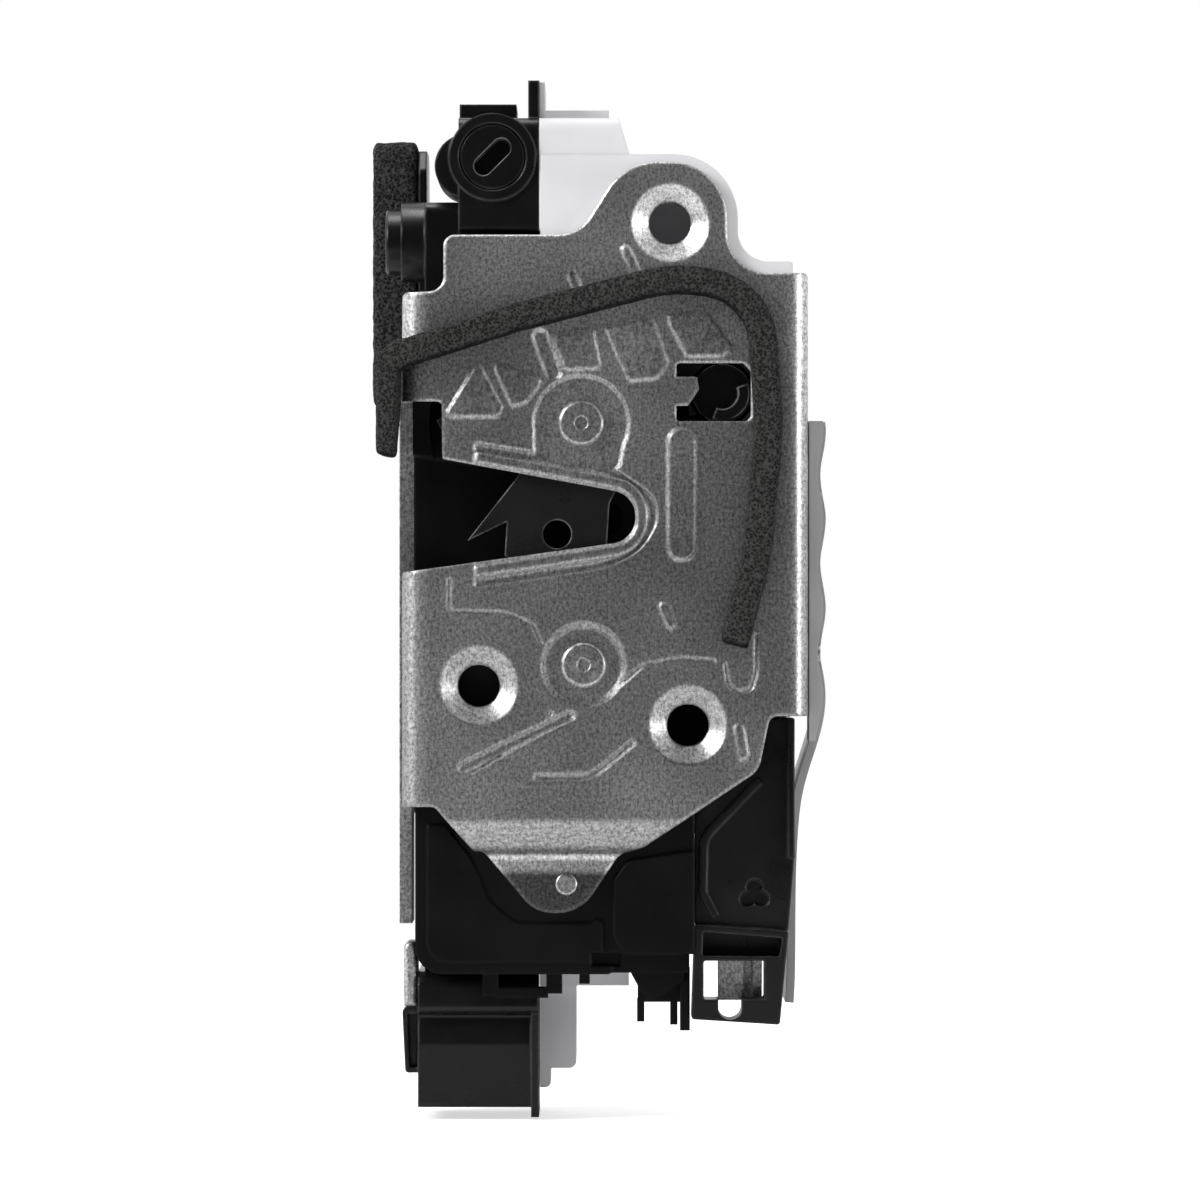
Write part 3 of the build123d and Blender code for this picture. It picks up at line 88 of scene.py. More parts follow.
# %% White world
world = bpy.data.worlds.new("studio")
bpy.context.scene.world = world
world.use_nodes = True
world_nodes = world.node_tree.nodes
world_links = world.node_tree.links
sky = world_nodes["Background"]
sky.inputs["Color"].default_value = (1, 1, 1, 1)
rays = world_nodes.new("ShaderNodeLightPath")
camera_or_glossy = world_nodes.new("ShaderNodeMath")
camera_or_glossy.operation = "MAXIMUM"
world_links.new(rays.outputs["Is Camera Ray"], camera_or_glossy.inputs[0])
world_links.new(rays.outputs["Is Glossy Ray"], camera_or_glossy.inputs[1])
seen = world_nodes.new("ShaderNodeMath")
seen.operation = "MAXIMUM"
world_links.new(camera_or_glossy.outputs[0], seen.inputs[0])
world_links.new(rays.outputs["Is Transmission Ray"], seen.inputs[1])
level = world_nodes.new("ShaderNodeMapRange")
level.inputs["To Min"].default_value = 0.42
level.inputs["To Max"].default_value = 1.0
world_links.new(seen.outputs[0], level.inputs["Value"])
world_links.new(level.outputs["Result"], sky.inputs["Strength"])
bpy.context.scene.view_settings.view_transform = "Standard"


# %% Lamps
def soft_lamp(name, place, aim, size, power):
    """A square area lamp that faces a point."""
    bpy.ops.object.light_add(type="AREA", location=place)
    lamp = bpy.context.object
    lamp.name = name
    lamp.data.shape = "SQUARE"
    lamp.data.size = size
    lamp.data.energy = power
    away = lamp.location - Vector(aim)
    lamp.rotation_mode = "QUATERNION"
    lamp.rotation_quaternion = away.to_track_quat("Z", "Y")


lamp_aim = (-0.01, 0.02, -0.06)
soft_lamp("lamp_left", (-1.1, -0.65, 0.6), lamp_aim, 0.5, 12.5)
soft_lamp("lamp_right", (1.2, -0.4, -0.1), lamp_aim, 0.4, 5.0)
soft_lamp("lamp_top", (-0.2, 0.1, 1.2), lamp_aim, 0.6, 7.0)

# %% [markdown]
# Metal shows what stands in front of it. A face plate that met only white would look white and flat,
# and the one in the photograph is mid grey with bright bends, so the room behind that camera was
# probably dark. Two large dark cards stand there, one upright far behind the camera and one lying in
# front of the part. They show only in reflections: the camera doesn't see them and they throw no
# shadow.


# %% Dark cards
def dark_card(name, width, depth, place, turn):
    """A dark rectangle that only reflections see."""
    bpy.ops.mesh.primitive_plane_add(size=1, location=place, rotation=(math.radians(turn), 0, 0))
    card = bpy.context.object
    card.name = name
    card.scale = (width, depth, 1)
    bpy.ops.object.transform_apply(location=True, rotation=True, scale=True)
    card.visible_camera = False
    card.visible_diffuse = False
    card.visible_shadow = False
    paint = bpy.data.materials.new(name + "_grey")
    paint.use_nodes = True
    shader = paint.node_tree.nodes["Principled BSDF"]
    shader.inputs["Base Color"].default_value = (0.07, 0.07, 0.07, 1)
    shader.inputs["Roughness"].default_value = 1.0
    card.data.materials.append(paint)


floor_level = cad_low.z - 0.0004
dark_card("card_upright", 5.6, 5.6, (0, -2.6, floor_level + 2.8), 90)
dark_card("card_lying", 5.6, 2.35, (0, -1.42, floor_level + 0.001), 0)
print("dark cards: 2")

# %% Floor
bpy.ops.mesh.primitive_circle_add(vertices=96, radius=4.0, fill_type="NGON",
                                  location=(0, 0, floor_level))
floor = bpy.context.object
floor.name = "floor"
bpy.ops.object.transform_apply(location=True)
floor_paint = bpy.data.materials.new("floor_white")
floor_paint.use_nodes = True
floor_nodes = floor_paint.node_tree.nodes
floor_links = floor_paint.node_tree.links
floor_nodes["Principled BSDF"].inputs["Base Color"].default_value = (0.92, 0.92, 0.92, 1)
floor_nodes["Principled BSDF"].inputs["Roughness"].default_value = 0.9
floor_rays = floor_nodes.new("ShaderNodeLightPath")
floor_glow = floor_nodes.new("ShaderNodeMath")
floor_glow.operation = "MULTIPLY"
floor_glow.inputs[1].default_value = 0.62
floor_links.new(floor_rays.outputs["Is Camera Ray"], floor_glow.inputs[0])
floor_nodes["Principled BSDF"].inputs["Emission Color"].default_value = (1, 1, 1, 1)
floor_links.new(floor_glow.outputs[0], floor_nodes["Principled BSDF"].inputs["Emission Strength"])
floor.data.materials.append(floor_paint)

# %% [markdown]
# ## Finishes
# Each finish is a node material that reads object coordinates, so its grain has a real size in metres
# and stays on the part when the part moves. A small kit of helpers places the nodes: a noise, a ramp
# that turns it into a colour or a roughness, and a bump.


# %% Material helpers
def new_finish(name, roughness, metallic=0.0, specular=0.5):
    """An empty material and the parts of it that the other helpers join up."""
    material = bpy.data.materials.new(name)
    material.use_nodes = True
    tree = material.node_tree
    shader = tree.nodes["Principled BSDF"]
    shader.inputs["Roughness"].default_value = roughness
    shader.inputs["Metallic"].default_value = metallic
    shader.inputs["Specular IOR Level"].default_value = specular
    place = tree.nodes.new("ShaderNodeTexCoord")
    return material, tree, shader, place.outputs["Object"]


def stretched(tree, place, scale, turn=(0, 0, 0)):
    """Object coordinates scaled along each axis, for a grain with a direction."""
    mapping = tree.nodes.new("ShaderNodeMapping")
    mapping.inputs["Scale"].default_value = scale
    mapping.inputs["Rotation"].default_value = turn
    tree.links.new(place, mapping.inputs["Vector"])
    return mapping.outputs["Vector"]


def noise(tree, place, scale, detail=2.0, rough=0.5):
    """A noise whose cells are about 1 / scale metres wide."""
    node = tree.nodes.new("ShaderNodeTexNoise")
    node.inputs["Scale"].default_value = scale
    node.inputs["Detail"].default_value = detail
    node.inputs["Roughness"].default_value = rough
    tree.links.new(place, node.inputs["Vector"])
    return node.outputs["Fac"]


def ramp(tree, value, low, high, colour_low, colour_high):
    """Turns a value between low and high into a colour between two colours."""
    node = tree.nodes.new("ShaderNodeValToRGB")
    node.color_ramp.elements[0].position = low
    node.color_ramp.elements[1].position = high
    node.color_ramp.elements[0].color = (*colour_low, 1)
    node.color_ramp.elements[1].color = (*colour_high, 1)
    tree.links.new(value, node.inputs["Fac"])
    return node.outputs["Color"]


def spread(tree, value, low, high, to_low, to_high):
    """Turns a value between low and high into a number between two numbers."""
    node = tree.nodes.new("ShaderNodeMapRange")
    node.inputs["From Min"].default_value = low
    node.inputs["From Max"].default_value = high
    node.inputs["To Min"].default_value = to_low
    node.inputs["To Max"].default_value = to_high
    tree.links.new(value, node.inputs["Value"])
    return node.outputs["Result"]


def rounded_edge(tree, radius):
    """A surface direction that turns smoothly over sharp edges, as on a rubbed or moulded edge."""
    node = tree.nodes.new("ShaderNodeBevel")
    node.samples = 6
    node.inputs["Radius"].default_value = radius
    return node.outputs["Normal"]


def bump(tree, shader, height, depth, strength=1.0, under=None):
    """Presses a height into the surface, depth metres deep."""
    node = tree.nodes.new("ShaderNodeBump")
    node.inputs["Distance"].default_value = depth
    node.inputs["Strength"].default_value = strength
    tree.links.new(height, node.inputs["Height"])
    if under is not None:
        tree.links.new(under, node.inputs["Normal"])
    tree.links.new(node.outputs["Normal"], shader.inputs["Normal"])
    return node.outputs["Normal"]


def joined(tree, kind, first, second):
    """One number from two, by an operation of the Math node."""
    node = tree.nodes.new("ShaderNodeMath")
    node.operation = kind
    for value, socket in ((first, node.inputs[0]), (second, node.inputs[1])):
        if isinstance(value, (int, float)):
            socket.default_value = value
        else:
            tree.links.new(value, socket)
    return node.outputs[0]


def scratches(tree, place, scale, width, mask_scale):
    """Fine crossing lines, 1 where a line is, kept only in patches."""
    cells = tree.nodes.new("ShaderNodeTexVoronoi")
    cells.feature = "DISTANCE_TO_EDGE"
    cells.inputs["Scale"].default_value = scale
    tree.links.new(place, cells.inputs["Vector"])
    line = spread(tree, cells.outputs["Distance"], 0.0, width, 1.0, 0.0)
    patch = spread(tree, noise(tree, place, mask_scale), 0.52, 0.6, 0.0, 1.0)
    return joined(tree, "MULTIPLY", line, patch)


# %% [markdown]
# ### Zinc plated sheet steel
# Rolled steel with a thin zinc layer is a dull mid grey with a fine mottle, a faint vertical rolling
# grain, and light scratches from the press. The mottle and the grain set the colour and a shallow
# bump, and a wider cloud sets the roughness, so the soft light breaks up on it as on real metal. The
# plate is painted lighter at the top, with a painted shade in the crease of its joggle and on its tab.
# This painted light and shade stands for a light that isn't known, and a list of heights and factors
# puts it into the colour.


# %% Sheet steel finish
def crowned(tree, place, normal, left, right):
    """A surface direction that leans outwards near two edges of a sheet, where its bends begin."""
    parts = tree.nodes.new("ShaderNodeSeparateXYZ")
    tree.links.new(place, parts.inputs[0])
    lean_left = spread(tree, parts.outputs["X"], left[0], left[1], -left[2], 0.0)
    lean_right = spread(tree, parts.outputs["X"], right[0], right[1], 0.0, right[2])
    lean = tree.nodes.new("ShaderNodeCombineXYZ")
    tree.links.new(joined(tree, "ADD", lean_left, lean_right), lean.inputs["X"])
    add = tree.nodes.new("ShaderNodeVectorMath")
    tree.links.new(normal, add.inputs[0])
    tree.links.new(lean.outputs[0], add.inputs[1])
    unit = tree.nodes.new("ShaderNodeVectorMath")
    unit.operation = "NORMALIZE"
    tree.links.new(add.outputs[0], unit.inputs[0])
    return unit.outputs[0]


def painted_light_by_height(tree, place, colour, stops):
    """Multiplies a colour by factors given at heights in metres, to paint light and shade into it."""
    parts = tree.nodes.new("ShaderNodeSeparateXYZ")
    tree.links.new(place, parts.inputs[0])
    low, high = stops[0][0], stops[-1][0]
    shade = tree.nodes.new("ShaderNodeValToRGB")
    for count, (height, factor) in enumerate(stops):
        spot = (height - low) / (high - low)
        if count in (0, len(stops) - 1):
            stop = shade.color_ramp.elements[0 if count == 0 else -1]
            stop.position = spot
        else:
            stop = shade.color_ramp.elements.new(spot)
        stop.color = (factor / 2, factor / 2, factor / 2, 1)
    tree.links.new(spread(tree, parts.outputs["Z"], low, high, 0.0, 1.0), shade.inputs["Fac"])
    product = tree.nodes.new("ShaderNodeMix")
    product.data_type = "RGBA"
    product.blend_type = "MULTIPLY"
    product.inputs["Factor"].default_value = 1.0
    tree.links.new(colour, product.inputs["A"])
    tree.links.new(shade.outputs["Color"], product.inputs["B"])
    double = tree.nodes.new("ShaderNodeMix")
    double.data_type = "RGBA"
    double.blend_type = "ADD"
    double.clamp_result = True
    double.inputs["Factor"].default_value = 1.0
    tree.links.new(product.outputs["Result"], double.inputs["A"])
    tree.links.new(product.outputs["Result"], double.inputs["B"])
    return double.outputs["Result"]


def sheet_steel(name, tone, edge, rough=0.36, bends=None, heights=None):
    """Plated steel of a given grey, with its edges rounded off by a radius."""
    material, tree, shader, place = new_finish(name, rough, metallic=1.0)
    mottle = noise(tree, place, 1900, detail=6, rough=0.85)
    cloud = noise(tree, place, 45, detail=4)
    grain = noise(tree, stretched(tree, place, (1.0, 1.0, 0.3)), 2800, detail=4, rough=0.8)
    mottle_and_grain = joined(tree, "ADD", mottle, joined(tree, "MULTIPLY", grain, 0.5))
    speckle = spread(tree, mottle_and_grain, 0.55, 0.95, 0, 1)
    base = ramp(tree, speckle, 0.25, 0.75, (tone * 0.45,) * 3, (tone * 1.5,) * 3)
    marks = scratches(tree, stretched(tree, place, (1, 1, 0.3), (0.0, 0.45, 0.0)), 230, 0.006, 60)
    mix = tree.nodes.new("ShaderNodeMix")
    mix.data_type = "RGBA"
    mix.inputs["B"].default_value = (tone * 1.7, tone * 1.7, tone * 1.7, 1)
    tree.links.new(spread(tree, marks, 0, 1, 0, 0.6), mix.inputs["Factor"])
    tree.links.new(base, mix.inputs["A"])
    colour = mix.outputs["Result"]
    # Painted light and shade: the colour is multiplied by factors at given heights.
    if heights is not None:
        colour = painted_light_by_height(tree, place, colour, heights)
    tree.links.new(colour, shader.inputs["Base Color"])
    uneven = spread(tree, cloud, 0.3, 0.7, rough - 0.05, rough + 0.06)
    tree.links.new(uneven, shader.inputs["Roughness"])
    direction = rounded_edge(tree, edge)
    if bends is not None:
        direction = crowned(tree, place, direction, *bends)
    coarse = bump(tree, shader, mottle, 0.00003, 0.6, under=direction)
    bump(tree, shader, grain, 0.00002, 0.5, under=coarse)
    return material


plate_bends = ((-0.0434, -0.0385, 0.55), (0.0184, 0.0224, 0.66))
# Painted light and shade by height: a painted shade on the tab and in the joggle's crease, and the face
# painted lighter towards the top.
tab_painted_shade = ((-0.112, 0.24), (-0.1058, 0.26))
joggle_painted_shade = ((-0.1048, 1.3), (-0.1026, 1.35), (-0.1022, 0.3), (-0.1014, 0.3), (-0.1010, 0.85))
face_painted_light = ((-0.095, 0.82), (-0.05, 0.94), (-0.03, 1.1), (0.005, 1.6), (0.02, 1.65))
plate_painted_light = tab_painted_shade + joggle_painted_shade + face_painted_light
plate_steel = sheet_steel("plate_steel", 0.52, 0.0009, bends=plate_bends, heights=plate_painted_light)
steel = sheet_steel("zinc_steel", 0.5, 0.0003)
dark_steel = sheet_steel("plain_steel", 0.3, 0.0003)
print("steel finishes:", plate_steel.name, steel.name, dark_steel.name)

# %% [markdown]
# ### Moulded plastics
# The black mouldings are glass-filled nylon: deep black, half matt, with a fine spark-eroded texture
# and slightly uneven gloss. The claw, the pawl and the rotors are smoother. The white shell and the
# pale shield have the same texture, and the texture shows as soft variation in the highlights. Edges
# are paler, from wear and from a painted highlight: a Bevel node gives the direction that a rounded
# edge would have, and where it leaves the true one there is an edge, so the colour is mixed with a
# lighter one.


# %% Plastic finish
def moulding(name, dark, light, gloss, specular, texture, edge=0.0003):
    """Moulded plastic from its two tones, its roughness, its texture's depth and its edge radius."""
    material, tree, shader, place = new_finish(name, gloss, specular=specular)
    cloud = noise(tree, place, 60, detail=5)
    tree.links.new(ramp(tree, cloud, 0.35, 0.65, dark, light), shader.inputs["Base Color"])
    patchy = noise(tree, place, 180, detail=4)
    uneven = spread(tree, patchy, 0.3, 0.7, gloss - 0.06, gloss + 0.08)
    tree.links.new(uneven, shader.inputs["Roughness"])
    pits = noise(tree, place, 2600, detail=3, rough=0.6)
    bump(tree, shader, pits, texture, 0.5, under=rounded_edge(tree, edge))
    return material


def worn_and_highlit_edges(material, width, tone):
    """Adds pale edges, partly wear and partly a painted highlight, where the rounded direction leaves
    the flat one.
    """
    tree = material.node_tree
    shader = tree.nodes["Principled BSDF"]
    place = tree.nodes["Texture Coordinate"].outputs["Object"]
    shape = tree.nodes.new("ShaderNodeNewGeometry")
    turned = tree.nodes.new("ShaderNodeVectorMath")
    turned.operation = "DOT_PRODUCT"
    tree.links.new(shape.outputs["True Normal"], turned.inputs[0])
    tree.links.new(rounded_edge(tree, width), turned.inputs[1])
    edge = spread(tree, turned.outputs["Value"], 0.995, 0.86, 0.0, 1.0)
    patch = spread(tree, noise(tree, place, 420, detail=3), 0.38, 0.56, 0.15, 1.0)
    mix = tree.nodes.new("ShaderNodeMix")
    mix.data_type = "RGBA"
    old = shader.inputs["Base Color"].links[0].from_socket
    tree.links.new(joined(tree, "MULTIPLY", edge, patch), mix.inputs["Factor"])
    tree.links.new(old, mix.inputs["A"])
    mix.inputs["B"].default_value = (tone, tone, tone, 1)
    tree.links.new(mix.outputs["Result"], shader.inputs["Base Color"])


black = moulding("black_nylon", (0.003, 0.003, 0.0035), (0.0055, 0.0055, 0.006),
                 gloss=0.3, specular=0.4, texture=0.00003, edge=0.0006)
# Pale edges: partly wear, partly a painted highlight.
worn_and_highlit_edges(black, width=0.0004, tone=0.05)
deep_black = moulding("deep_black", (0.0025, 0.0025, 0.003), (0.0045, 0.0045, 0.005),
                      gloss=0.36, specular=0.15, texture=0.00003, edge=0.0006)
rotor_black = moulding("rotor_black", (0.004, 0.004, 0.0045), (0.007, 0.007, 0.0075),
                       gloss=0.2, specular=0.4, texture=0.00001)
worn_and_highlit_edges(rotor_black, width=0.0004, tone=0.3)
claw_black = moulding("claw_black", (0.007, 0.007, 0.0075), (0.011, 0.011, 0.0115),
                      gloss=0.3, specular=0.35, texture=0.00002)
worn_and_highlit_edges(claw_black, width=0.0005, tone=0.22)
white = moulding("white_nylon", (0.74, 0.74, 0.77), (0.8, 0.8, 0.82),
                 gloss=0.45, specular=0.35, texture=0.00002)
pale_grey = moulding("pale_shield", (0.37, 0.37, 0.38), (0.43, 0.43, 0.44),
                     gloss=0.42, specular=0.4, texture=0.00002)
gear_plastic = moulding("acetal", (0.72, 0.70, 0.63), (0.78, 0.76, 0.69),
                        gloss=0.35, specular=0.4, texture=0.00001)
rubber = moulding("rubber", (0.012, 0.012, 0.012), (0.02, 0.02, 0.02),
                  gloss=0.7, specular=0.2, texture=0.00004)
print("plastic finishes:", black.name, rotor_black.name, white.name, pale_grey.name,
      gear_plastic.name)


# %% [markdown]
# ### Foam and contact metal
# Closed-cell foam is a dark grey with a fine speckle of open cells on its cut faces, their insides
# painted darker as shade. The sides that look down are painted darker too, a painted shade for the
# dark band along the strip's lower side. The blades and leads of the connector are tinned brass.


# %% Foam and brass finishes
def cell_foam(name, dark, light, cells_per_metre, depth):
    """Cut foam: pores of about one size, painted darker inside than at their rims as shade, and sides
    that look down painted darker as shade.
    """
    material, tree, shader, place = new_finish(name, 0.95, specular=0.1)
    pores = tree.nodes.new("ShaderNodeTexVoronoi")
    pores.inputs["Scale"].default_value = cells_per_metre
    tree.links.new(place, pores.inputs["Vector"])
    speck = noise(tree, place, cells_per_metre * 0.7, detail=3, rough=0.7)
    # Painted shade in the pores: their insides are darker than their rims.
    cells = joined(tree, "MULTIPLY", pores.outputs["Distance"], speck)
    shape = tree.nodes.new("ShaderNodeNewGeometry")
    facing = tree.nodes.new("ShaderNodeSeparateXYZ")
    tree.links.new(shape.outputs["Normal"], facing.inputs[0])
    # Painted shade: faces that look down are darker.
    under = spread(tree, facing.outputs["Z"], -0.5, -0.15, 0.25, 1.0)
    shaded = tree.nodes.new("ShaderNodeMix")
    shaded.data_type = "RGBA"
    shaded.inputs["A"].default_value = (*dark, 1)
    tree.links.new(under, shaded.inputs["Factor"])
    tree.links.new(ramp(tree, cells, 0.08, 0.42, dark, light), shaded.inputs["B"])
    tree.links.new(shaded.outputs["Result"], shader.inputs["Base Color"])
    bump(tree, shader, cells, depth, 0.9)
    return material


foam_grey = cell_foam("strip_foam", (0.004, 0.004, 0.004), (0.062, 0.062, 0.060),
                      cells_per_metre=2300, depth=0.0004)
foam_black = cell_foam("block_foam", (0.002, 0.002, 0.002), (0.065, 0.065, 0.065),
                       cells_per_metre=2200, depth=0.0005)

brass, brass_tree, brass_shader, brass_place = new_finish("tinned_brass", 0.3, metallic=1.0)
brass_tone = noise(brass_tree, brass_place, 300, detail=4)
brass_tree.links.new(ramp(brass_tree, brass_tone, 0.35, 0.65, (0.58, 0.5, 0.3), (0.72, 0.64, 0.42)),
                     brass_shader.inputs["Base Color"])
bump(brass_tree, brass_shader, brass_tone, 0.00001, 0.3)
print("foam and contact finishes:", foam_grey.name, foam_black.name, brass.name)

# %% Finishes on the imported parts
finishes = {
    plate_steel: ["latch_plate"],
    steel: ["back_plate", "connector_lock_bar", "claw_rivet", "pawl_rivet", "tab_rivet",
            "outer_release_lever", "inner_release_lever", "lock_motor", "case_screws",
            "shield_rivets"],
    dark_steel: ["claw_core", "pawl_core", "claw_spring", "pawl_spring", "motor_shaft", "worm",
                 "gear_axles", "lever_shaft", "lever_spacer", "release_spring"],
    deep_black: ["latch_housing"],
    black: ["claw_switch", "pawl_switch", "actuator_case", "key_coupling",
            "foam_carrier", "connector_collar", "terminal_block", "cable_bracket"],
    claw_black: ["claw_cover", "pawl_cover"],
    rotor_black: ["child_lock_rotor", "emergency_rotor"],
    white: ["case_cover"],
    pale_grey: ["side_shield"],
    gear_plastic: ["worm_wheel", "lock_lever"],
    rubber: ["striker_stop"],
    foam_grey: ["foam_strip"],
    foam_black: ["foam_block"],
    brass: ["connector_pins", "motor_leads"],
}
for finish, names in finishes.items():
    for name in names:
        part = nodes[name]
        part.data.materials.clear()
        part.data.materials.append(finish)
print("parts with a finish:", sum(len(names) for names in finishes.values()), "of", len(nodes))

# %% [markdown]
# ## Face plate
# A press leaves no sharp edge, and the lip round the striker slot is rolled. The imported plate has
# sharp edges, so a copy of it is merged into one clean surface, and the front edges of the lip, which
# stands half a millimetre in front of the plate, are bevelled. The directions stored with the packed
# mesh don't fit the new points, so they are cleared. The flat faces are then shaded flat: a smooth one
# would borrow the lean of its neighbours and show a wedge of light across its whole length.


# %% Copy and bevel helpers
same_point = 0.000002
lip_front = -0.0005
lip_right_end = -0.002
least_sharp = math.radians(22)


def copy_of(part, name):
    """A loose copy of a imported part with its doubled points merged."""
    bpy.ops.object.select_all(action="DESELECT")
    copy = nodes[part].copy()
    copy.data = nodes[part].data.copy()
    copy.name = name
    bpy.context.collection.objects.link(copy)
    copy.parent = None
    copy.matrix_world = Matrix.Identity(4)
    bpy.context.view_layer.objects.active = copy
    copy.select_set(True)
    bpy.ops.object.mode_set(mode="EDIT")
    bpy.ops.mesh.select_all(action="SELECT")
    bpy.ops.mesh.remove_doubles(threshold=same_point)
    bpy.ops.object.mode_set(mode="OBJECT")
    if copy.data.has_custom_normals:
        bpy.ops.mesh.customdata_custom_splitnormals_clear()
    return copy


def bevel_edges(piece, wanted, width, segments):
    """Bevels the sharp outward edges for which a test on their two ends is true."""
    bpy.ops.object.mode_set(mode="EDIT")
    bpy.ops.mesh.select_all(action="DESELECT")
    bpy.ops.mesh.select_mode(type="EDGE")
    shape = bmesh.from_edit_mesh(piece.data)
    chosen = 0
    for edge in shape.edges:
        if len(edge.link_faces) == 2 and edge.is_convex and edge.calc_face_angle(0) > least_sharp:
            if wanted(edge.verts[0].co, edge.verts[1].co):
                edge.select_set(True)
                chosen += 1
    bmesh.update_edit_mesh(piece.data)
    bpy.ops.mesh.bevel(offset=width, offset_type="OFFSET", segments=segments, clamp_overlap=False)
    bpy.ops.object.mode_set(mode="OBJECT")
    return chosen


def on_lip(one, two):
    """True for an edge on the front rim of the lip round the slot."""
    return all(abs(end.y - lip_front) < 2 * same_point and end.x < lip_right_end
               for end in (one, two))


# %% Face plate with a rolled lip
lip_round = 0.0004
square_on = 0.9999

face_plate = copy_of("latch_plate", "face_plate")
lip_edges = bevel_edges(face_plate, on_lip, lip_round, segments=8)
bpy.ops.object.shade_smooth_by_angle(angle=math.radians(30))
for face in face_plate.data.polygons:
    if abs(face.normal.y) > square_on:
        face.use_smooth = False
face_plate.data.materials.clear()
face_plate.data.materials.append(plate_steel)
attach(face_plate, "latch_body")
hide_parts("latch_plate")
print("lip edges bevelled:", lip_edges, "faces of the plate:", len(face_plate.data.polygons))

# %% [markdown]
# ## Bolt cap, in part a painted shade
# Behind the lower right fixing the imported model is open to the levers, but in the photograph that
# hole is black. What covers it can't be seen, so a soft black cap pressed on the back plate is a
# guess, and its black is in part a painted shade for the deep hole. It is a short cylinder: its back
# face is inset and drawn out to a barrel, its front face is inset and pushed in to make the hollow,
# and its rims are bevelled.


# %% Bolt cap, in part a painted shade
def finish_piece(piece, finish, body):
    """Puts a new piece's place into its mesh and gives it a finish and a body."""
    bpy.ops.object.select_all(action="DESELECT")
    piece.select_set(True)
    bpy.context.view_layer.objects.active = piece
    bpy.ops.object.transform_apply(location=True, rotation=True, scale=True)
    bpy.ops.object.shade_smooth_by_angle(angle=math.radians(35))
    piece.data.materials.clear()
    piece.data.materials.append(finish)
    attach(piece, body)


cap_middle = (0.0029, 0.01572, -0.0814)
cap_radius = 0.0066
cap_flange = 0.0012
barrel = ((0, 0, -1), 0.0009, 0.0044)
hollow = ((0, 0, 1), 0.0018, 0.0050)

bpy.ops.object.select_all(action="DESELECT")
bpy.ops.mesh.primitive_cylinder_add(vertices=48, radius=cap_radius, depth=cap_flange,
                                    location=cap_middle, rotation=(math.radians(90), 0, 0))
bolt_cap_as_shade = bpy.context.object
bolt_cap_as_shade.name = "bolt_cap_as_shade"
bpy.ops.object.mode_set(mode="EDIT")
bpy.ops.mesh.select_mode(type="FACE")
for direction, inset, push in (barrel, hollow):
    cap_shape = bmesh.from_edit_mesh(bolt_cap_as_shade.data)
    for face in cap_shape.faces:
        face.select_set(face.normal.dot(Vector(direction)) > 0.99 and len(face.verts) > 4)
    bmesh.update_edit_mesh(bolt_cap_as_shade.data)
    bpy.ops.mesh.inset(thickness=inset)
    bpy.ops.mesh.extrude_region_move(TRANSFORM_OT_translate={
        "value": (0, push, 0), "orient_type": "GLOBAL"})
bpy.ops.object.mode_set(mode="OBJECT")
soft_rim = bolt_cap_as_shade.modifiers.new("rim", "BEVEL")
soft_rim.width = 0.0003
soft_rim.segments = 2
bpy.ops.object.modifier_apply(modifier=soft_rim.name)
# The cap's black rubber stands in part for painted shade in the deep hole.
finish_piece(bolt_cap_as_shade, rubber, "latch_body")
cap_ends = [round(corner[1] * 1000, 2) for corner in bolt_cap_as_shade.bound_box]
print("bolt cap from y", min(cap_ends), "to", max(cap_ends), "mm, faces:",
      len(bolt_cap_as_shade.data.polygons))

# %% [markdown]
# ## Foam
# The seal strip is cut from a foam sheet and glued round the upper half of the face plate. The block
# at the left is thicker and softer. Both have cut edges that are a little rounded and faces that
# aren't quite flat, so a copy of each solid is remeshed in fine cells, smoothed, and then moved in
# and out a little by a cloud texture.


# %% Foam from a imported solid
def make_foam(part, name, cell, soften, uneven, finish):
    """Remeshed and softened foam that stands for a packed foam solid."""
    foam = copy_of(part, name)
    remesh = foam.modifiers.new("cells", "REMESH")
    remesh.mode = "VOXEL"
    remesh.voxel_size = cell
    bpy.ops.object.modifier_apply(modifier=remesh.name)
    smooth = foam.modifiers.new("soften", "SMOOTH")
    smooth.iterations = soften
    bpy.ops.object.modifier_apply(modifier=smooth.name)
    clouds = bpy.data.textures.new(name + "_clouds", "CLOUDS")
    clouds.noise_scale = cell * 3
    push = foam.modifiers.new("uneven", "DISPLACE")
    push.texture = clouds
    push.strength = uneven
    push.mid_level = 0.55
    bpy.ops.object.modifier_apply(modifier=push.name)
    bpy.ops.object.shade_smooth()
    foam.data.materials.clear()
    foam.data.materials.append(finish)
    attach(foam, "latch_body")
    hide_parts(part)
    print(name, "has", len(foam.data.polygons), "faces")


make_foam("foam_strip", "seal_strip", 0.00045, 9, 0.00022, foam_grey)
make_foam("foam_block", "sound_block", 0.0007, 4, 0.0005, foam_black)

# %% [markdown]
# ## Case ribs
# A large flat wall of a moulded case bends easily, and such walls often carry a low lattice of ribs.
# The photograph doesn't show this one, so its ribs are a guess. A lattice could be boxes laid across
# one another, but those overlap where they meet. A grid gives it in one closed piece: each of its
# faces is inset on its own, the inner faces are taken out, and what stays is given a thickness and a
# small bevel.

# %% Case ribs
ribs_middle = (-0.03998, 0.0598, -0.0655)
ribs_tall = 0.066
ribs_wide = 0.03
half_rib = 0.0007
rib_height = 0.0015

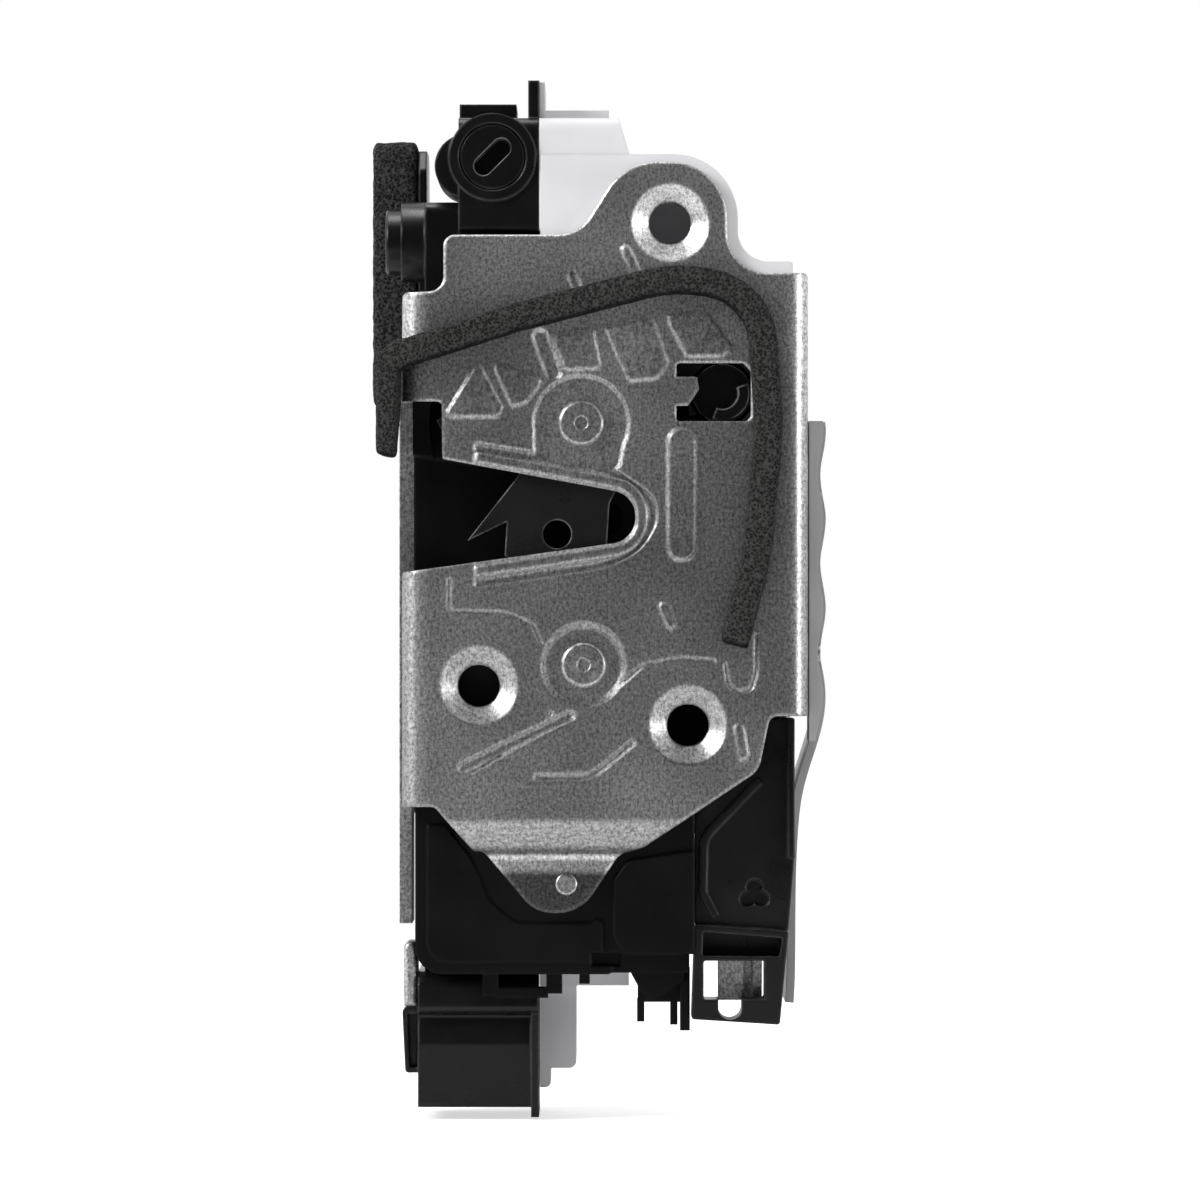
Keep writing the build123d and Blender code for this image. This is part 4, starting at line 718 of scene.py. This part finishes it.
bpy.ops.object.select_all(action="DESELECT")
bpy.ops.mesh.primitive_grid_add(x_subdivisions=5, y_subdivisions=2, size=1, location=ribs_middle,
                                rotation=(0, math.radians(-90), 0))
case_ribs = bpy.context.object
case_ribs.name = "case_ribs"
case_ribs.scale = (ribs_tall, ribs_wide, 1)
bpy.ops.object.transform_apply(location=True, rotation=True, scale=True)
bpy.ops.object.mode_set(mode="EDIT")
bpy.ops.mesh.select_mode(type="FACE")
bpy.ops.mesh.select_all(action="SELECT")
bpy.ops.mesh.inset(thickness=half_rib, use_individual=True)
bpy.ops.mesh.delete(type="FACE")
bpy.ops.object.mode_set(mode="OBJECT")
height = case_ribs.modifiers.new("height", "SOLIDIFY")
height.thickness = rib_height
height.offset = 1.0
bpy.ops.object.modifier_apply(modifier=height.name)
draft = case_ribs.modifiers.new("edges", "BEVEL")
draft.width = 0.0003
draft.segments = 2
bpy.ops.object.modifier_apply(modifier=draft.name)
finish_piece(case_ribs, black, "latch_body")
rib_ends = [corner[0] * 1000 for corner in case_ribs.bound_box]
print("ribs from x", round(min(rib_ends), 2), "to", round(max(rib_ends), 2), "mm")

# %% [markdown]
# ## Screw drives
# The three case screws have round heads, and a driver needs something to hold. In a copy of the
# screws each head's flat face becomes one face again, is inset and is pushed in, which leaves a round
# socket. Its kind is a guess, because the photograph doesn't show the screws.

# %% Screw drives
socket_rim = 0.0008
socket_depth = 0.0008

drive_screws = copy_of("case_screws", "drive_screws")
head_level = max(point.co.x for point in drive_screws.data.vertices)
bpy.ops.object.mode_set(mode="EDIT")
bpy.ops.mesh.select_mode(type="FACE")
screw_shape = bmesh.from_edit_mesh(drive_screws.data)
for face in screw_shape.faces:
    face.select_set(face.normal.x > 0.999 and abs(face.calc_center_median().x - head_level) < 0.00001)
bmesh.update_edit_mesh(drive_screws.data)
bpy.ops.mesh.dissolve_faces()
bpy.ops.mesh.inset(thickness=socket_rim)
bpy.ops.mesh.extrude_region_move(TRANSFORM_OT_translate={
    "value": (-socket_depth, 0, 0), "orient_type": "GLOBAL"})
bpy.ops.object.mode_set(mode="OBJECT")
finish_piece(drive_screws, steel, "latch_body")
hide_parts("case_screws")
print("screw heads at x", round(head_level * 1000, 2), "mm, faces:", len(drive_screws.data.polygons))
